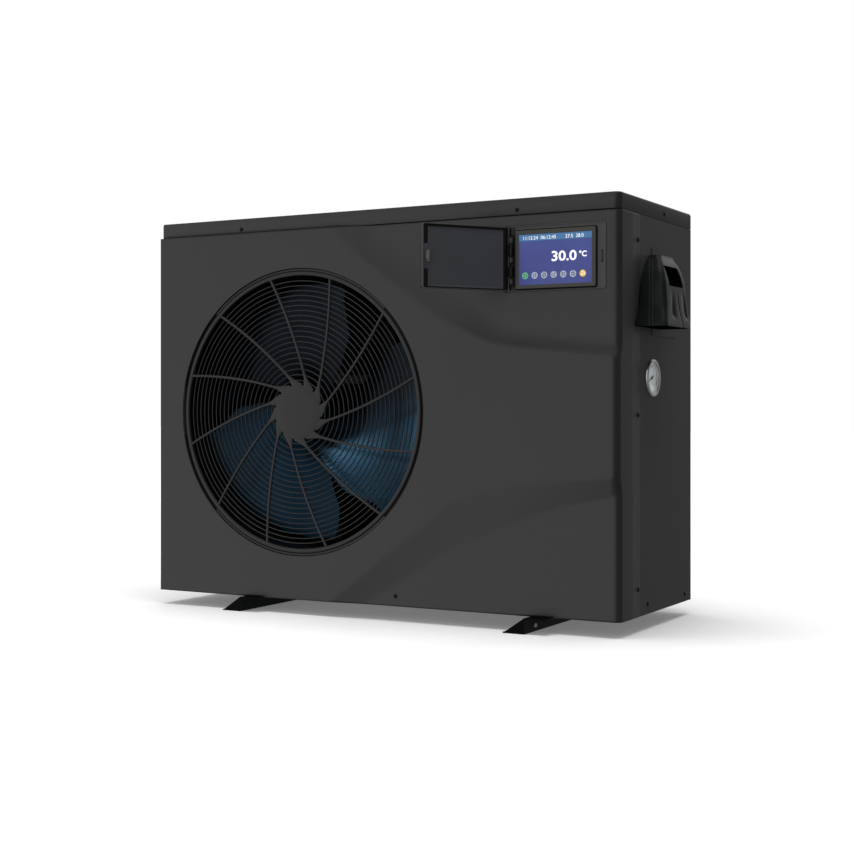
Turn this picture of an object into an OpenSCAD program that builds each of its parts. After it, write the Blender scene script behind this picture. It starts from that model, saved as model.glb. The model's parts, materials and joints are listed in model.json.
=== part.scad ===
// Pool heat pump: a side-discharge cabinet on two rails, with its fan, coil, compressor,
// titanium water exchanger, hinged display door, cable hood and pressure gauge.
// Millimetres. +X is the right-hand end, -Y is the front and +Z is up.
// The origin is on the floor, at the centre of the four foot bolts.

/* [Cabinet] */
// Width of the cabinet
body_w = 991; // [980:1:1000]
// Depth of the cabinet
body_d = 374; // [370:1:380]
// Height of the cabinet above its rails
body_h = 740; // [738:1:748]
// Height of the rails under the cabinet
foot_h = 28; // [24:1:32]
// Radius of the front right-hand corner
corner_r = 14; // [12:1:16]
// Radius of the rear right-hand corner
fold_r = 2; // [1.9:0.1:3]
// Thickness of the sheet-metal panels
steel_t = 1.5; // [1.2:0.1:1.8]
// Wall of the moulded front panel
moulding_t = 3; // [2.6:0.1:3.4]
// Depth of the two sunk fields on the front panel
relief = 9; // [7:0.5:10]
// Height of the top cover's skirt
cap_skirt = 29; // [27:1:32]
// Width of the seams between the covers
seam = 1; // [0.6:0.1:1.4]

/* [Fan] */
// Fan axis, from the middle of the cabinet
fan_x = -162; // [-166:1:-158]
// Fan axis, above the floor
fan_z = 388; // [384:1:392]
// Radius of the air outlet in the front panel
outlet_r = 274.5; // [272:0.5:276]
// Outer radius of the grille's rim
rim_r = 267.5; // [266:0.5:269]
// Radius of the fan
fan_r = 250; // [240:1:252]
// Number of fan blades
blade_count = 3; // [3:1:4]
// Number of curved spokes in the grille
spoke_count = 12; // [10:1:14]
// Number of rings in the grille
ring_count = 20; // [16:1:20]

/* [Display] */
// Height of the display frame
frame_h = 114; // [110:1:115]
// Width of the display frame
frame_w = 190; // [186:1:192]
// Width of the door over the display, from its hinge
door_w = 176; // [174:1:177]
// How far the door stands open
door_open = 125; // [90:1:129]

/* [Water side] */
// Radius of the exchanger's shell
shell_r = 75; // [70:1:76]
// Radius of the pipe that the union sockets take
socket_r = 25.1; // [24.9:0.1:25.2]
// Height of the lower water union
inlet_z = 130; // [126:1:150]
// Height of the upper water union
outlet_z = 455; // [430:1:460]

/* [Feet] */
// Distance between the two rows of foot bolts
bolt_span_x = 610; // [600:1:616]
// Distance between the bolts of one rail
bolt_span_y = 390; // [384:1:394]
// Radius of the foot bolt holes
bolt_r = 5; // [4:0.5:5.5]

/* [Hidden] */
$fn = 48;

// Cabinet faces
x_right = body_w / 2;
x_left = -body_w / 2;
y_front = -body_d / 2;
y_rear = body_d / 2;
z_base = foot_h;
z_top = foot_h + body_h;
z_seam = z_top - cap_skirt;
panel_top = z_seam - seam;
y_sunk = y_front + relief;
y_cap = y_sunk - 1;
sunk_r = corner_r - 1;
side_seam_y = -82;
inner_x = x_right - moulding_t;
inner_sunk_y = y_sunk + moulding_t;
lip_t = 3;
lip_top = z_seam + 19;
skirt_in_y = y_cap + steel_t;

// Sunk fields of the front panel, as outlines in X and Z, beyond the edges on purpose
over = 20;
upper_crease = [
    [-80, panel_top + 8], [-57, 706], [153, 556], [249, 513], [290, 506],
    [x_right + over, 484], [x_right + over, panel_top + 8]
];
upper_floor = [
    [-32, panel_top + 8], [-14, 714], [180, 578], [262, 530], [310, 519],
    [x_right + over, 495], [x_right + over, panel_top + 8]
];
lower_crease = [
    [-98, z_base - 8], [-90, z_base], [175, 228], [234, 251], [320, 263],
    [x_right + over, 279], [x_right + over, z_base - 8]
];
lower_floor = [
    [-30, z_base - 8], [-17, z_base], [155, 131], [273, 183], [378, 221],
    [x_right + over, 250], [x_right + over, z_base - 8]
];
upper_corner_z = 492;
lower_corner_z = 262;

// Screws, as places on each face
screw_r = 2;
screw_head_r = 4;
screw_head_h = 2;
screw_len = 8;
cap_front_spots = [[-300, 747], [300, 747]];
cap_side_spots = [[39, 752]];
cap_rear_spots = [[-300, 752], [300, 752]];
return_spots = [[-94, 692], [-94, 383.5], [-94, 76.6]];
tray_side_spots = [[-47, 45.5], [151, 42]];
tray_front_spot = [50, 47];
rear_guard_spots = [[-440, 45], [120, 45]];
rear_panel_spots = [[176, 45], [424, 45]];

// Base tray
tray_x = inner_x - 0.5;
tray_front_y = inner_sunk_y;
tray_rear_y = y_rear - steel_t;
tray_wall_top = z_base + 32;
floor_z = z_base + steel_t;
tray_corner_r = 12;
drain_spot = [-150, 60];
drain_r = 9;
drain_collar_r = 10.5;

// Rails
rail_x = bolt_span_x / 2;
rail_len = 412;
rail_t = 2;
rail_flange = 43;
rail_bolt_spots = [[43, -110], [43, 126]];
rail_bolt_r = 4;

// Grille and shroud
rim_in_r = rim_r - 11;
hub_r = 48;
grille_front_y = y_front + 1;
grille_back_y = y_front + 5.5;
grille_flange_r = 290;
spoke_w = 5.5;
spoke_arc_r = 857;
spoke_arc_x = 26.1;
spoke_arc_y = 825;
ring_w = 2.4;
ring_first_r = 61;
shroud_in_r = 264;
shroud_t = 3;
shroud_back_y = -80;

// Fan and motor, all on the fan axis
shaft_r = 6;
motor_r = 58;
motor_front_y = -50;
motor_rear_y = 48.5;
bearing_r = 11;
hub_front_y = -136;
hub_back_y = -78;
blade_front_y = -146;
blade_back_y = -80;
blade_hub_r = 44;
blade_t = 2.6;
blade_sweep = 75;
first_blade = -27;

// Coil
coil_t = 40;
coil_left_x = -485;
coil_back_y = 175;
coil_front_y = -75;
coil_right_x = 150;
coil_in_r = 20;
coil_out_r = coil_in_r + coil_t;
coil_z = 32;
coil_top = 736;
coil_pitch = 25.4;
bend_r = coil_pitch / 2;
coil_tube_r = 4.8;
bend_count = 13;
plate_t = 2;

// Partition between the fan chamber and the compressor chamber
partition_x = coil_right_x + plate_t;

// Compressor chamber
compressor_at = [235, -30];
compressor_r = 58;
accumulator_at = [325, -90];
accumulator_r = 26;
shell_at = [400, 60];
shell_top = 500;
lid_top = 512;
port_r = 33;
port_in_r = 25;
port_end_y = 212;
seal_t = 3;
flange_t = 6;
socket_end_y = 250;
socket_out_r = 29;
nut_r = 42;
nut_front_y = 195;
nut_lip_y = port_end_y + seal_t + flange_t + 0.3;
nut_end_y = nut_lip_y + 6;
run_gap = 0.08;
valve_z = 450;
valve_y = 95;
gas_r = 6.5;
liquid_r = 4;
capillary_r = 2.5;
box_front_y = -150;
box_back_y = -25;
box_z = 560;
box_top = 730;
box_right_x = 486;

// Display
frame_x = 279;
frame_z = 603;
frame_y = y_sunk - 1;
screen_y = y_sunk - 3;
hinge_at = [291, y_sunk - 5];
hinge_r = 3;
hinge_pin_r = 1.5;
door_face = 8;
door_t = 2.5;
door_rim_t = 2;
door_rim_back = -3.7;
frame_knuckles = [620, 655, 695];
door_knuckles = [[629, 646], [665, 686]];
knuckle_half = 7.5;
latch_u = 171;
latch_z = 661;
screen_lo = [frame_x + 17, frame_z + 4];
screen_hi = [frame_x + frame_w - 18, frame_z + frame_h - 6];

// Right-hand fittings
cover_t = 1.5;
cover_lo = [-26, 527];
cover_hi = [95, 685];
cover_tab_lo = [-76, 556];
cover_tab_hi = [-26, 632];
hood_x = x_right + cover_t;
gauge_at = [-22, 450];
gauge_r = 34;
gland_spots = [-62, -2];
gland_x = x_right + 26;
gland_r = 5.5;
shelf_z = 560;
wire_hole = [-50, 600];
wire_hole_r = 14;
needle_rest = 205;

// ---------- shared shapes ----------

module block(lo, hi) {
    translate(lo) cube(hi - lo);
}

// A flat outline in X and Z, thick from y0 to y1
module xz_slab(points, y0, y1) {
    translate([0, y1, 0]) rotate([90, 0, 0]) linear_extrude(y1 - y0) polygon(points);
}

// A rectangle with rounded corners in X and Z, thick from y0 to y1
module rounded_slab(x0, z0, x1, z1, r, y0, y1) {
    translate([0, y1, 0]) rotate([90, 0, 0]) linear_extrude(y1 - y0) {
        translate([x0 + r, z0]) square([x1 - x0 - 2 * r, z1 - z0]);
        translate([x0, z0 + r]) square([x1 - x0, z1 - z0 - 2 * r]);
        for (x = [x0 + r, x1 - r]) for (z = [z0 + r, z1 - r]) translate([x, z]) circle(r);
    }
}

// Children drawn along +Z are laid along +Y or +X
module along_y(x, y, z) {
    translate([x, y, z]) rotate([-90, 0, 0]) children();
}

module along_x(x, y, z) {
    translate([x, y, z]) rotate([0, 90, 0]) children();
}

module ring(r_out, r_in, h) {
    difference() {
        cylinder(r = r_out, h = h);
        translate([0, 0, -1]) cylinder(r = r_in, h = h + 2);
    }
}

// What a rounded corner takes off a square one, from the centre of the rounding
module corner_waste(r) {
    difference() {
        square([r + 1, r + 1]);
        circle(r);
    }
}

// Plan of the space behind a front face, with its right-hand corner rounded
module front_plan(face_y, r, inset) {
    back_y = side_seam_y - seam / 2 + (inset > 0 ? 1 : 0);
    difference() {
        translate([x_left + inset, face_y + inset])
            square([body_w - 2 * inset, back_y - face_y - inset]);
        translate([x_right - r, face_y + r]) mirror([0, 1]) corner_waste(r - inset);
    }
}

// Plan of the top cover
module cap_plan(inset) {
    r = corner_r;
    difference() {
        translate([x_left + inset, y_cap + inset])
            square([body_w - 2 * inset, y_rear - y_cap - 2 * inset]);
        translate([x_right - r, y_cap + r]) mirror([0, 1]) corner_waste(r - inset);
        translate([x_right - fold_r, y_rear - fold_r]) corner_waste(fold_r - inset);
    }
}

// A round pipe along an axis-parallel route, with a bend at each inner point
module pipe_bend(p, d1, d2, r, bend) {
    c = p - bend * d1 + bend * d2;
    u = -d2;
    v = d1;
    w = cross(u, v);
    multmatrix([
        [u.x, v.x, w.x, c.x],
        [u.y, v.y, w.y, c.y],
        [u.z, v.z, w.z, c.z],
        [0, 0, 0, 1]
    ])
        rotate_extrude(angle = 90) translate([bend, 0]) circle(r);
}

module pipe_length(a, b, r) {
    d = b - a;
    turn = abs(d.x) > 0 ? [0, d.x > 0 ? 90 : -90, 0] : abs(d.y) > 0 ? [d.y > 0 ? -90 : 90, 0, 0]
        : [d.z > 0 ? 0 : 180, 0, 0];
    translate(a) rotate(turn) cylinder(r = r, h = norm(d));
}

module pipe_run(points, r, bend) {
    last = len(points) - 1;
    dirs = [for (i = [0 : last - 1]) (points[i + 1] - points[i]) / norm(points[i + 1] - points[i])];
    for (i = [0 : last - 1])
        pipe_length(points[i] + (i > 0 ? bend : 0) * dirs[i],
            points[i + 1] - (i < last - 1 ? bend : 0) * dirs[i], r);
    for (i = [1 : last - 1]) pipe_bend(points[i], dirs[i - 1], dirs[i], r, bend);
}

// A pressure vessel: a can between z0 and z1 with a shallow dome at each end
module vessel(r, z0, z1) {
    dome_r = 1.4 * r;
    drop = sqrt(dome_r * dome_r - r * r);
    translate([0, 0, z0]) cylinder(r = r, h = z1 - z0);
    intersection() {
        translate([0, 0, z1 - drop]) sphere(dome_r);
        translate([0, 0, z1 - 1]) cylinder(r = r, h = dome_r);
    }
    intersection() {
        translate([0, 0, z0 + drop]) sphere(dome_r);
        translate([0, 0, z0 + 1 - dome_r]) cylinder(r = r, h = dome_r);
    }
}

// Screws and their holes, on the four faces. Each is drawn along the way in.
module screw() {
    translate([0, 0, -screw_head_h]) cylinder(r1 = 0.7 * screw_head_r, r2 = screw_head_r, h = screw_head_h);
    cylinder(r = screw_r, h = screw_len);
}

module screw_hole() {
    translate([0, 0, -1]) cylinder(r = screw_r, h = screw_len + 1);
}

module on_front(spots, y) {
    for (s = spots) translate([s.x, y, s.y]) rotate([-90, 0, 0]) children();
}

module on_rear(spots) {
    for (s = spots) translate([s.x, y_rear, s.y]) rotate([90, 0, 0]) children();
}

module on_right(spots) {
    for (s = spots) translate([x_right, s.x, s.y]) rotate([0, -90, 0]) children();
}

module on_left(spots) {
    for (s = spots) translate([x_left, s.x, s.y]) rotate([0, 90, 0]) children();
}

// ---------- base ----------

// Plan of the tray, with its front right-hand corner rounded
module tray_plan(inset) {
    r = tray_corner_r;
    difference() {
        translate([-tray_x + inset, tray_front_y + inset])
            square([2 * (tray_x - inset), tray_rear_y - tray_front_y - 2 * inset]);
        translate([tray_x - r, tray_front_y + r]) mirror([0, 1]) corner_waste(r - inset);
    }
}

module base_tray() {
    color([0.17, 0.17, 0.18]) difference() {
        union() {
            translate([0, 0, z_base]) linear_extrude(tray_wall_top - z_base) tray_plan(0);
            for (s = [-1, 1])
                block([min(s * tray_x, s * (x_right - steel_t)), -70, z_base + 4],
                    [max(s * tray_x, s * (x_right - steel_t)), 160, z_base + 26]);
        }
        translate([0, 0, floor_z]) linear_extrude(tray_wall_top) tray_plan(steel_t);
        translate([drain_spot.x, drain_spot.y, 0]) cylinder(r = drain_collar_r, h = 60);
        for (s = [-rail_x, rail_x]) for (b = rail_bolt_spots)
            translate([s + b.x, b.y, 0]) cylinder(r = rail_bolt_r, h = 60);
        on_front([tray_front_spot], y_sunk) screw_hole();
        on_right(tray_side_spots) screw_hole();
        on_left(tray_side_spots) screw_hole();
        on_rear(rear_guard_spots) screw_hole();
        on_rear(rear_panel_spots) screw_hole();
    }
}

// A rail of Z section, with a gusset at each end and a bolt hole in front and behind
module foot(x) {
    color([0.06, 0.06, 0.065]) translate([x, 0, 0]) difference() {
        union() {
            block([-20, -rail_len / 2, 0], [22, rail_len / 2, rail_t]);
            block([20, -rail_len / 2, 0], [22, rail_len / 2, foot_h]);
            block([20, -rail_len / 2, foot_h - rail_t], [20 + rail_flange, rail_len / 2, foot_h]);
            for (y = [-rail_len / 2, rail_len / 2 - rail_t])
                xz_slab([[-20, 0], [21, 0], [21, foot_h]], y, y + rail_t);
        }
        for (s = [-1, 1]) translate([0, s * bolt_span_y / 2, -1]) cylinder(r = bolt_r, h = 4);
        for (b = rail_bolt_spots) translate([b.x, b.y, 0]) cylinder(r = rail_bolt_r, h = 60);
    }
}

module left_foot() {
    foot(-rail_x);
}

module right_foot() {
    foot(rail_x);
}

// Bolts that hold the tray on its rails, with their heads inside and nuts under the flange
module foot_fasteners() {
    color([0.55, 0.56, 0.58])
        for (s = [-rail_x, rail_x]) for (b = rail_bolt_spots) translate([s + b.x, b.y, 0]) {
            translate([0, 0, foot_h - rail_t - 8]) cylinder(r = rail_bolt_r, h = 14);
            translate([0, 0, foot_h - rail_t - 6]) cylinder(r = 7, h = 6, $fn = 6);
            translate([0, 0, floor_z]) cylinder(r = 7, h = 5, $fn = 6);
        }
}

module drain_spout() {
    color([0.08, 0.08, 0.09]) translate([drain_spot.x, drain_spot.y, 0]) difference() {
        union() {
            translate([0, 0, 8]) cylinder(r = drain_r, h = z_base - 8);
            translate([0, 0, z_base]) cylinder(r = drain_collar_r, h = steel_t);
            translate([0, 0, floor_z]) cylinder(r = 16, h = 2.5);
        }
        translate([0, 0, 7]) cylinder(r = 6.5, h = 40);
    }
}

// ---------- cabinet ----------

// The part of the front panel that a sunk field cuts away, with the step round the corner
module sunk_cut(crease, floor_line, z0, z1) {
    hull() {
        xz_slab(crease, y_front - 2, y_front);
        xz_slab(floor_line, y_sunk - 0.1, y_sunk);
    }
    difference() {
        block([x_right - corner_r, y_front - 2, z0], [x_right + over, y_sunk + corner_r, z1]);
        translate([0, 0, z0 - 1]) linear_extrude(z1 - z0 + 2) front_plan(y_sunk, sunk_r, 0);
    }
}

// The wall behind a sunk field, before the field is cut
module sunk_back(crease, floor_line) {
    intersection() {
        hull() {
            xz_slab(crease, y_front + moulding_t - 0.5, y_front + moulding_t);
            xz_slab(floor_line, inner_sunk_y - 0.5, inner_sunk_y);
        }
        translate([0, 0, z_base]) linear_extrude(panel_top - z_base) front_plan(y_front, corner_r, 0);
    }
}

module front_panel() {
    color([0.22, 0.22, 0.22]) difference() {
        union() {
            translate([0, 0, z_base]) linear_extrude(panel_top - z_base) difference() {
                front_plan(y_front, corner_r, 0);
                front_plan(y_front, corner_r, moulding_t);
            }
            sunk_back(upper_crease, upper_floor);
            sunk_back(lower_crease, lower_floor);
            // rounded corner wall behind the sunk fields
            translate([x_right - sunk_r, y_sunk + sunk_r, z_base]) linear_extrude(panel_top - z_base)
                difference() {
                    circle(sunk_r);
                    circle(sunk_r - moulding_t);
                    translate([-40, -20]) square([40, 40]);
                    translate([-1, 0]) square([40, 40]);
                }
            // shelf and lip under the top cover
            block([x_left + 1, y_front + 1, panel_top - lip_t], [x_right - corner_r, skirt_in_y + lip_t, panel_top]);
            block([x_left + 12, skirt_in_y, panel_top - lip_t], [x_right - 20, skirt_in_y + lip_t, lip_top]);
        }
        sunk_cut(upper_crease, upper_floor, upper_corner_z, panel_top + 8);
        sunk_cut(lower_crease, lower_floor, z_base - 8, lower_corner_z);
        along_y(fan_x, y_front - 10, fan_z) cylinder(r = outlet_r, h = 30, $fn = 120);
        rounded_slab(frame_x, frame_z, frame_x + frame_w, frame_z + frame_h, 6, y_sunk - 5, y_sunk + 10);
        on_front(cap_front_spots, y_cap) screw_hole();
        on_front([tray_front_spot], y_sunk) screw_hole();
        on_right(return_spots) screw_hole();
        on_left(return_spots) screw_hole();
    }
}

// The flange of a side cover that the front panel's return is screwed to
module return_flange(s) {
    outer = s * (x_right - moulding_t);
    inner = s * (x_right - moulding_t - steel_t);
    face = s * x_right;
    block([min(outer, inner), -110, tray_wall_top + 2], [max(outer, inner), -78, panel_top - 4]);
    block([min(inner, face), side_seam_y + seam / 2, tray_wall_top + 2],
        [max(inner, face), side_seam_y + seam / 2 + steel_t, panel_top - 4]);
}

module right_side_panel() {
    color([0.21, 0.21, 0.21]) difference() {
        union() {
            translate([0, 0, z_base]) linear_extrude(panel_top - z_base) difference() {
                difference() {
                    translate([440, side_seam_y + seam / 2])
                        square([x_right - 440, y_rear - side_seam_y - seam / 2]);
                    translate([x_right - fold_r, y_rear - fold_r]) corner_waste(fold_r);
                }
                difference() {
                    translate([439, side_seam_y - 1])
                        square([x_right - steel_t - 439, y_rear - steel_t - side_seam_y + 1]);
                    translate([x_right - fold_r, y_rear - fold_r]) corner_waste(fold_r - steel_t);
                }
            }
            return_flange(1);
            block([x_right - 2 * steel_t, -60, panel_top - 14], [x_right - steel_t, 165, lip_top]);
        }
        on_right(return_spots) screw_hole();
        on_right(tray_side_spots) screw_hole();
        on_right(cap_side_spots) screw_hole();
        along_x(x_right - 10, wire_hole.x, wire_hole.y) cylinder(r = wire_hole_r, h = 20);
        along_x(x_right - 10, gauge_at.x, gauge_at.y) cylinder(r = gauge_r - 4, h = 20);
    }
}

module rear_panel() {
    color([0.21, 0.21, 0.21]) difference() {
        union() {
            block([partition_x, y_rear - steel_t, z_base], [440 - seam / 2, y_rear, panel_top]);
            block([partition_x + 8, y_rear - 2 * steel_t, panel_top - 14], [420, y_rear - steel_t, lip_top]);
        }
        for (z = [inlet_z, outlet_z]) along_y(shell_at.x, y_rear - 10, z) cylinder(r = port_r + 1, h = 20);
        on_rear(rear_panel_spots) screw_hole();
        on_rear(cap_rear_spots) screw_hole();
    }
}

// Slots for a guard that lets air in: columns and rows of long openings
module slot_field(a0, a1, columns, b0, b1, rows) {
    a_step = (a1 - a0) / columns;
    b_step = (b1 - b0) / rows;
    for (i = [0 : columns - 1]) for (j = [0 : rows - 1])
        translate([a0 + (i + 0.06) * a_step, b0 + (j + 0.18) * b_step])
            square([0.88 * a_step, 0.64 * b_step]);
}

module left_guard() {
    color([0.2, 0.2, 0.2]) difference() {
        union() {
            translate([x_left, 0, 0]) rotate([90, 0, 90]) linear_extrude(steel_t) difference() {
                translate([side_seam_y + seam / 2, z_base])
                    square([161.5 - side_seam_y - seam / 2, panel_top - z_base]);
                slot_field(-60, 145, 2, 75, 715, 32);
            }
            return_flange(-1);
            block([x_left + steel_t, -60, panel_top - 14], [x_left + 2 * steel_t, 120, lip_top]);
        }
        on_left(return_spots) screw_hole();
        on_left(tray_side_spots) screw_hole();
        on_left(cap_side_spots) screw_hole();
    }
}

module rear_guard() {
    color([0.2, 0.2, 0.2]) difference() {
        union() {
            translate([0, y_rear, 0]) rotate([90, 0, 0]) linear_extrude(steel_t) difference() {
                translate([-470, z_base]) square([partition_x - seam + 470, panel_top - z_base]);
                slot_field(-455, 140, 5, 75, 715, 32);
            }
            block([-440, y_rear - 2 * steel_t, panel_top - 14], [120, y_rear - steel_t, lip_top]);
        }
        on_rear(rear_guard_spots) screw_hole();
        on_rear(cap_rear_spots) screw_hole();
    }
}

module corner_post() {
    color([0.21, 0.21, 0.21]) translate([0, 0, z_base]) linear_extrude(panel_top - z_base) {
        translate([x_left, 162]) square([steel_t, y_rear - 162]);
        translate([x_left, y_rear - steel_t]) square([24.5, steel_t]);
    }
}

module top_cover() {
    color([0.22, 0.22, 0.22]) difference() {
        translate([0, 0, z_seam]) linear_extrude(cap_skirt) cap_plan(0);
        translate([0, 0, z_seam - 1]) linear_extrude(cap_skirt - steel_t + 1) cap_plan(steel_t);
        on_front(cap_front_spots, y_cap) screw_hole();
        on_right(cap_side_spots) screw_hole();
        on_left(cap_side_spots) screw_hole();
        on_rear(cap_rear_spots) screw_hole();
    }
}

module partition_panel() {
    color([0.6, 0.61, 0.62]) {
        block([partition_x, inner_sunk_y + steel_t, floor_z], [partition_x + steel_t, 133, z_top - steel_t]);
        block([partition_x - 20, inner_sunk_y + steel_t, floor_z],
            [partition_x, inner_sunk_y + 2 * steel_t, panel_top - 20]);
    }
}

module cap_screws() {
    color([0.05, 0.05, 0.05]) {
        on_front(cap_front_spots, y_cap) screw();
        on_right(cap_side_spots) screw();
        on_left(cap_side_spots) screw();
        on_rear(cap_rear_spots) screw();
    }
}

module panel_screws() {
    color([0.05, 0.05, 0.05]) {
        on_front([tray_front_spot], y_sunk) screw();
        on_right(return_spots) screw();
        on_right(tray_side_spots) screw();
        on_left(return_spots) screw();
        on_left(tray_side_spots) screw();
        on_rear(rear_guard_spots) screw();
        on_rear(rear_panel_spots) screw();
    }
}

// ---------- fan ----------

// One curved spoke of the grille, as a flat outline seen from the front
module spoke(turn) {
    rotate(turn) intersection() {
        translate([spoke_arc_x, spoke_arc_y]) difference() {
            circle(spoke_arc_r + spoke_w / 2, $fn = 360);
            circle(spoke_arc_r - spoke_w / 2, $fn = 360);
        }
        difference() {
            circle(rim_in_r + 3, $fn = 120);
            circle(hub_r - 3, $fn = 120);
        }
        translate([0, -rim_r]) square([rim_r, 2 * rim_r]);
    }
}

function ring_radius(k) = ring_first_r + 10.9 * k - 0.045 * k * k;

module fan_grille() {
    color([0.2, 0.2, 0.2]) translate([fan_x, grille_back_y, fan_z]) rotate([90, 0, 0]) {
        translate([0, 0, 1.5]) linear_extrude(grille_back_y - grille_front_y - 1.5) {
            difference() {
                circle(rim_r, $fn = 120);
                circle(rim_in_r, $fn = 120);
            }
            circle(hub_r, $fn = 120);
            for (k = [0 : spoke_count - 1]) spoke(15 - 1.2 + 360 * k / spoke_count);
        }
        translate([0, 0, 1.5]) linear_extrude(1.6)
            for (k = [0 : ring_count - 1]) difference() {
                circle(ring_radius(k) + ring_w / 2, $fn = 120);
                circle(ring_radius(k) - ring_w / 2, $fn = 120);
            }
        ring(grille_flange_r, rim_in_r, grille_back_y - y_front - moulding_t, $fn = 120);
    }
}

module fan_shroud() {
    color([0.07, 0.07, 0.075]) {
        along_y(fan_x, grille_back_y, fan_z)
            ring(shroud_in_r + shroud_t, shroud_in_r, shroud_back_y - grille_back_y, $fn = 120);
        along_y(fan_x, grille_back_y, fan_z) ring(grille_flange_r, shroud_in_r, 2, $fn = 120);
    }
}

module motor_bracket() {
    color([0.6, 0.61, 0.62]) difference() {
        union() {
            for (s = [-1, 1]) translate([fan_x + s * 62, 0, floor_z]) {
                block([-14, motor_rear_y + steel_t, 0], [14, motor_rear_y + 2 * steel_t, coil_top - floor_z]);
                for (t = [-14, 14 - steel_t])
                    block([t, motor_rear_y + steel_t, 0], [t + steel_t, motor_rear_y + 16, coil_top - floor_z]);
            }
            block([fan_x - 76, motor_rear_y, fan_z - 76], [fan_x + 76, motor_rear_y + steel_t, fan_z + 76]);
        }
        along_y(fan_x, motor_rear_y - 5, fan_z) cylinder(r = 16, h = 20);
    }
}

module motor_case() {
    color([0.12, 0.12, 0.13]) difference() {
        union() {
            along_y(fan_x, motor_front_y, fan_z) cylinder(r = motor_r, h = motor_rear_y - motor_front_y);
            along_y(fan_x, motor_front_y - 8, fan_z) cylinder(r = 20, h = 10);
        }
        difference() {
            along_y(fan_x, motor_front_y + 3, fan_z)
                cylinder(r = motor_r - 4, h = motor_rear_y - motor_front_y - 6);
            along_y(fan_x, motor_rear_y - 11, fan_z) cylinder(r = 15, h = 10);
        }
        along_y(fan_x, motor_front_y - 9, fan_z) cylinder(r = bearing_r, h = 20);
        along_y(fan_x, motor_rear_y - 12, fan_z) cylinder(r = bearing_r, h = 9);
    }
}

module motor_bearings() {
    color([0.7, 0.71, 0.72]) for (y = [motor_front_y - 8, motor_rear_y - 11])
        along_y(fan_x, y, fan_z) ring(bearing_r, shaft_r + run_gap, 8);
}

module motor_rotor() {
    color([0.45, 0.3, 0.2]) along_y(fan_x, motor_front_y + 8, fan_z) ring(48, shaft_r, 70);
}

module fan_shaft() {
    color([0.7, 0.71, 0.72])
        along_y(fan_x, hub_front_y - 6, fan_z) cylinder(r = shaft_r, h = motor_rear_y - 4 - hub_front_y);
}

// A blade is a thin curved sheet. Station i runs along its chord, station j along its span.
blade_chord_steps = 8;
blade_span_steps = 24;

function blade_span_r(j) = blade_hub_r - 2 + (fan_r - blade_hub_r + 2) * j / blade_span_steps;
function blade_tooth(i, j) = i == 0 && j > 3 ? (j % 2 == 0 ? -1.1 : 1.1) : 0;
function blade_angle(i, j) =
    let (s = j / blade_span_steps, t = i / blade_chord_steps)
    blade_sweep * (0.72 + 0.28 * s) * (t - 0.5) - 10 * s * s + blade_tooth(i, j);
function blade_y(i, j) =
    let (s = j / blade_span_steps, t = i / blade_chord_steps)
    blade_front_y + (blade_back_y - blade_front_y) * (0.5 + (t - 0.5) * (1 - 0.12 * s))
        - 5 * sin(180 * t);
function blade_point(i, j, lift) =
    let (r = blade_span_r(j), a = blade_angle(i, j))
    [r * cos(a), blade_y(i, j) + lift, r * sin(a)];

module blade() {
    n = blade_chord_steps;
    m = blade_span_steps;
    row = m + 1;
    half = (n + 1) * row;
    front_face = [for (i = [0 : n]) for (j = [0 : m]) blade_point(i, j, -blade_t / 2)];
    back_face = [for (i = [0 : n]) for (j = [0 : m]) blade_point(i, j, blade_t / 2)];
    skins = [
        for (i = [0 : n - 1]) for (j = [0 : m - 1]) let (a = i * row + j) each [
            [a, a + row, a + 1],
            [a + 1, a + row, a + row + 1],
            [half + a, half + a + 1, half + a + row],
            [half + a + 1, half + a + row + 1, half + a + row]
        ]
    ];
    ends = [
        for (j = [0 : m - 1]) each [
            [j, j + 1, half + j + 1],
            [j, half + j + 1, half + j],
            [n * row + j + 1, n * row + j, half + n * row + j],
            [n * row + j + 1, half + n * row + j, half + n * row + j + 1]
        ],
        for (i = [0 : n - 1]) each [
            [i * row, half + i * row, half + (i + 1) * row],
            [i * row, half + (i + 1) * row, (i + 1) * row],
            [i * row + m, half + (i + 1) * row + m, half + i * row + m],
            [i * row + m, (i + 1) * row + m, half + (i + 1) * row + m]
        ]
    ];
    polyhedron(concat(front_face, back_face), concat(skins, ends), convexity = 6);
}

module fan_blades() {
    color([0.07, 0.25, 0.38]) difference() {
        union() {
            along_y(fan_x, hub_front_y, fan_z) cylinder(r = blade_hub_r, h = hub_back_y - hub_front_y);
            for (k = [0 : blade_count - 1])
                translate([fan_x, 0, fan_z]) rotate([0, -first_blade - 360 * k / blade_count, 0]) blade();
        }
        along_y(fan_x, hub_front_y - 30, fan_z) cylinder(r = shaft_r, h = 120);
    }
}

module fan_nut() {
    color([0.7, 0.71, 0.72]) along_y(fan_x, hub_front_y - 6, fan_z) difference() {
        cylinder(r = 11, h = 6, $fn = 6);
        translate([0, 0, -1]) cylinder(r = shaft_r, h = 8);
    }
}

// ---------- evaporator ----------

module coil_plan() {
    bend_x = coil_left_x + coil_out_r;
    bend_y = coil_back_y - coil_out_r;
    translate([coil_left_x, coil_front_y]) square([coil_t, bend_y - coil_front_y]);
    translate([bend_x, coil_back_y - coil_t]) square([coil_right_x - bend_x, coil_t]);
    translate([bend_x, bend_y]) intersection() {
        difference() {
            circle(coil_out_r);
            circle(coil_in_r);
        }
        translate([-coil_out_r, 0]) square([coil_out_r, coil_out_r]);
    }
}

module evaporator_fins() {
    color([0.62, 0.64, 0.66]) translate([0, 0, coil_z]) linear_extrude(coil_top - coil_z) coil_plan();
}

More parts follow.
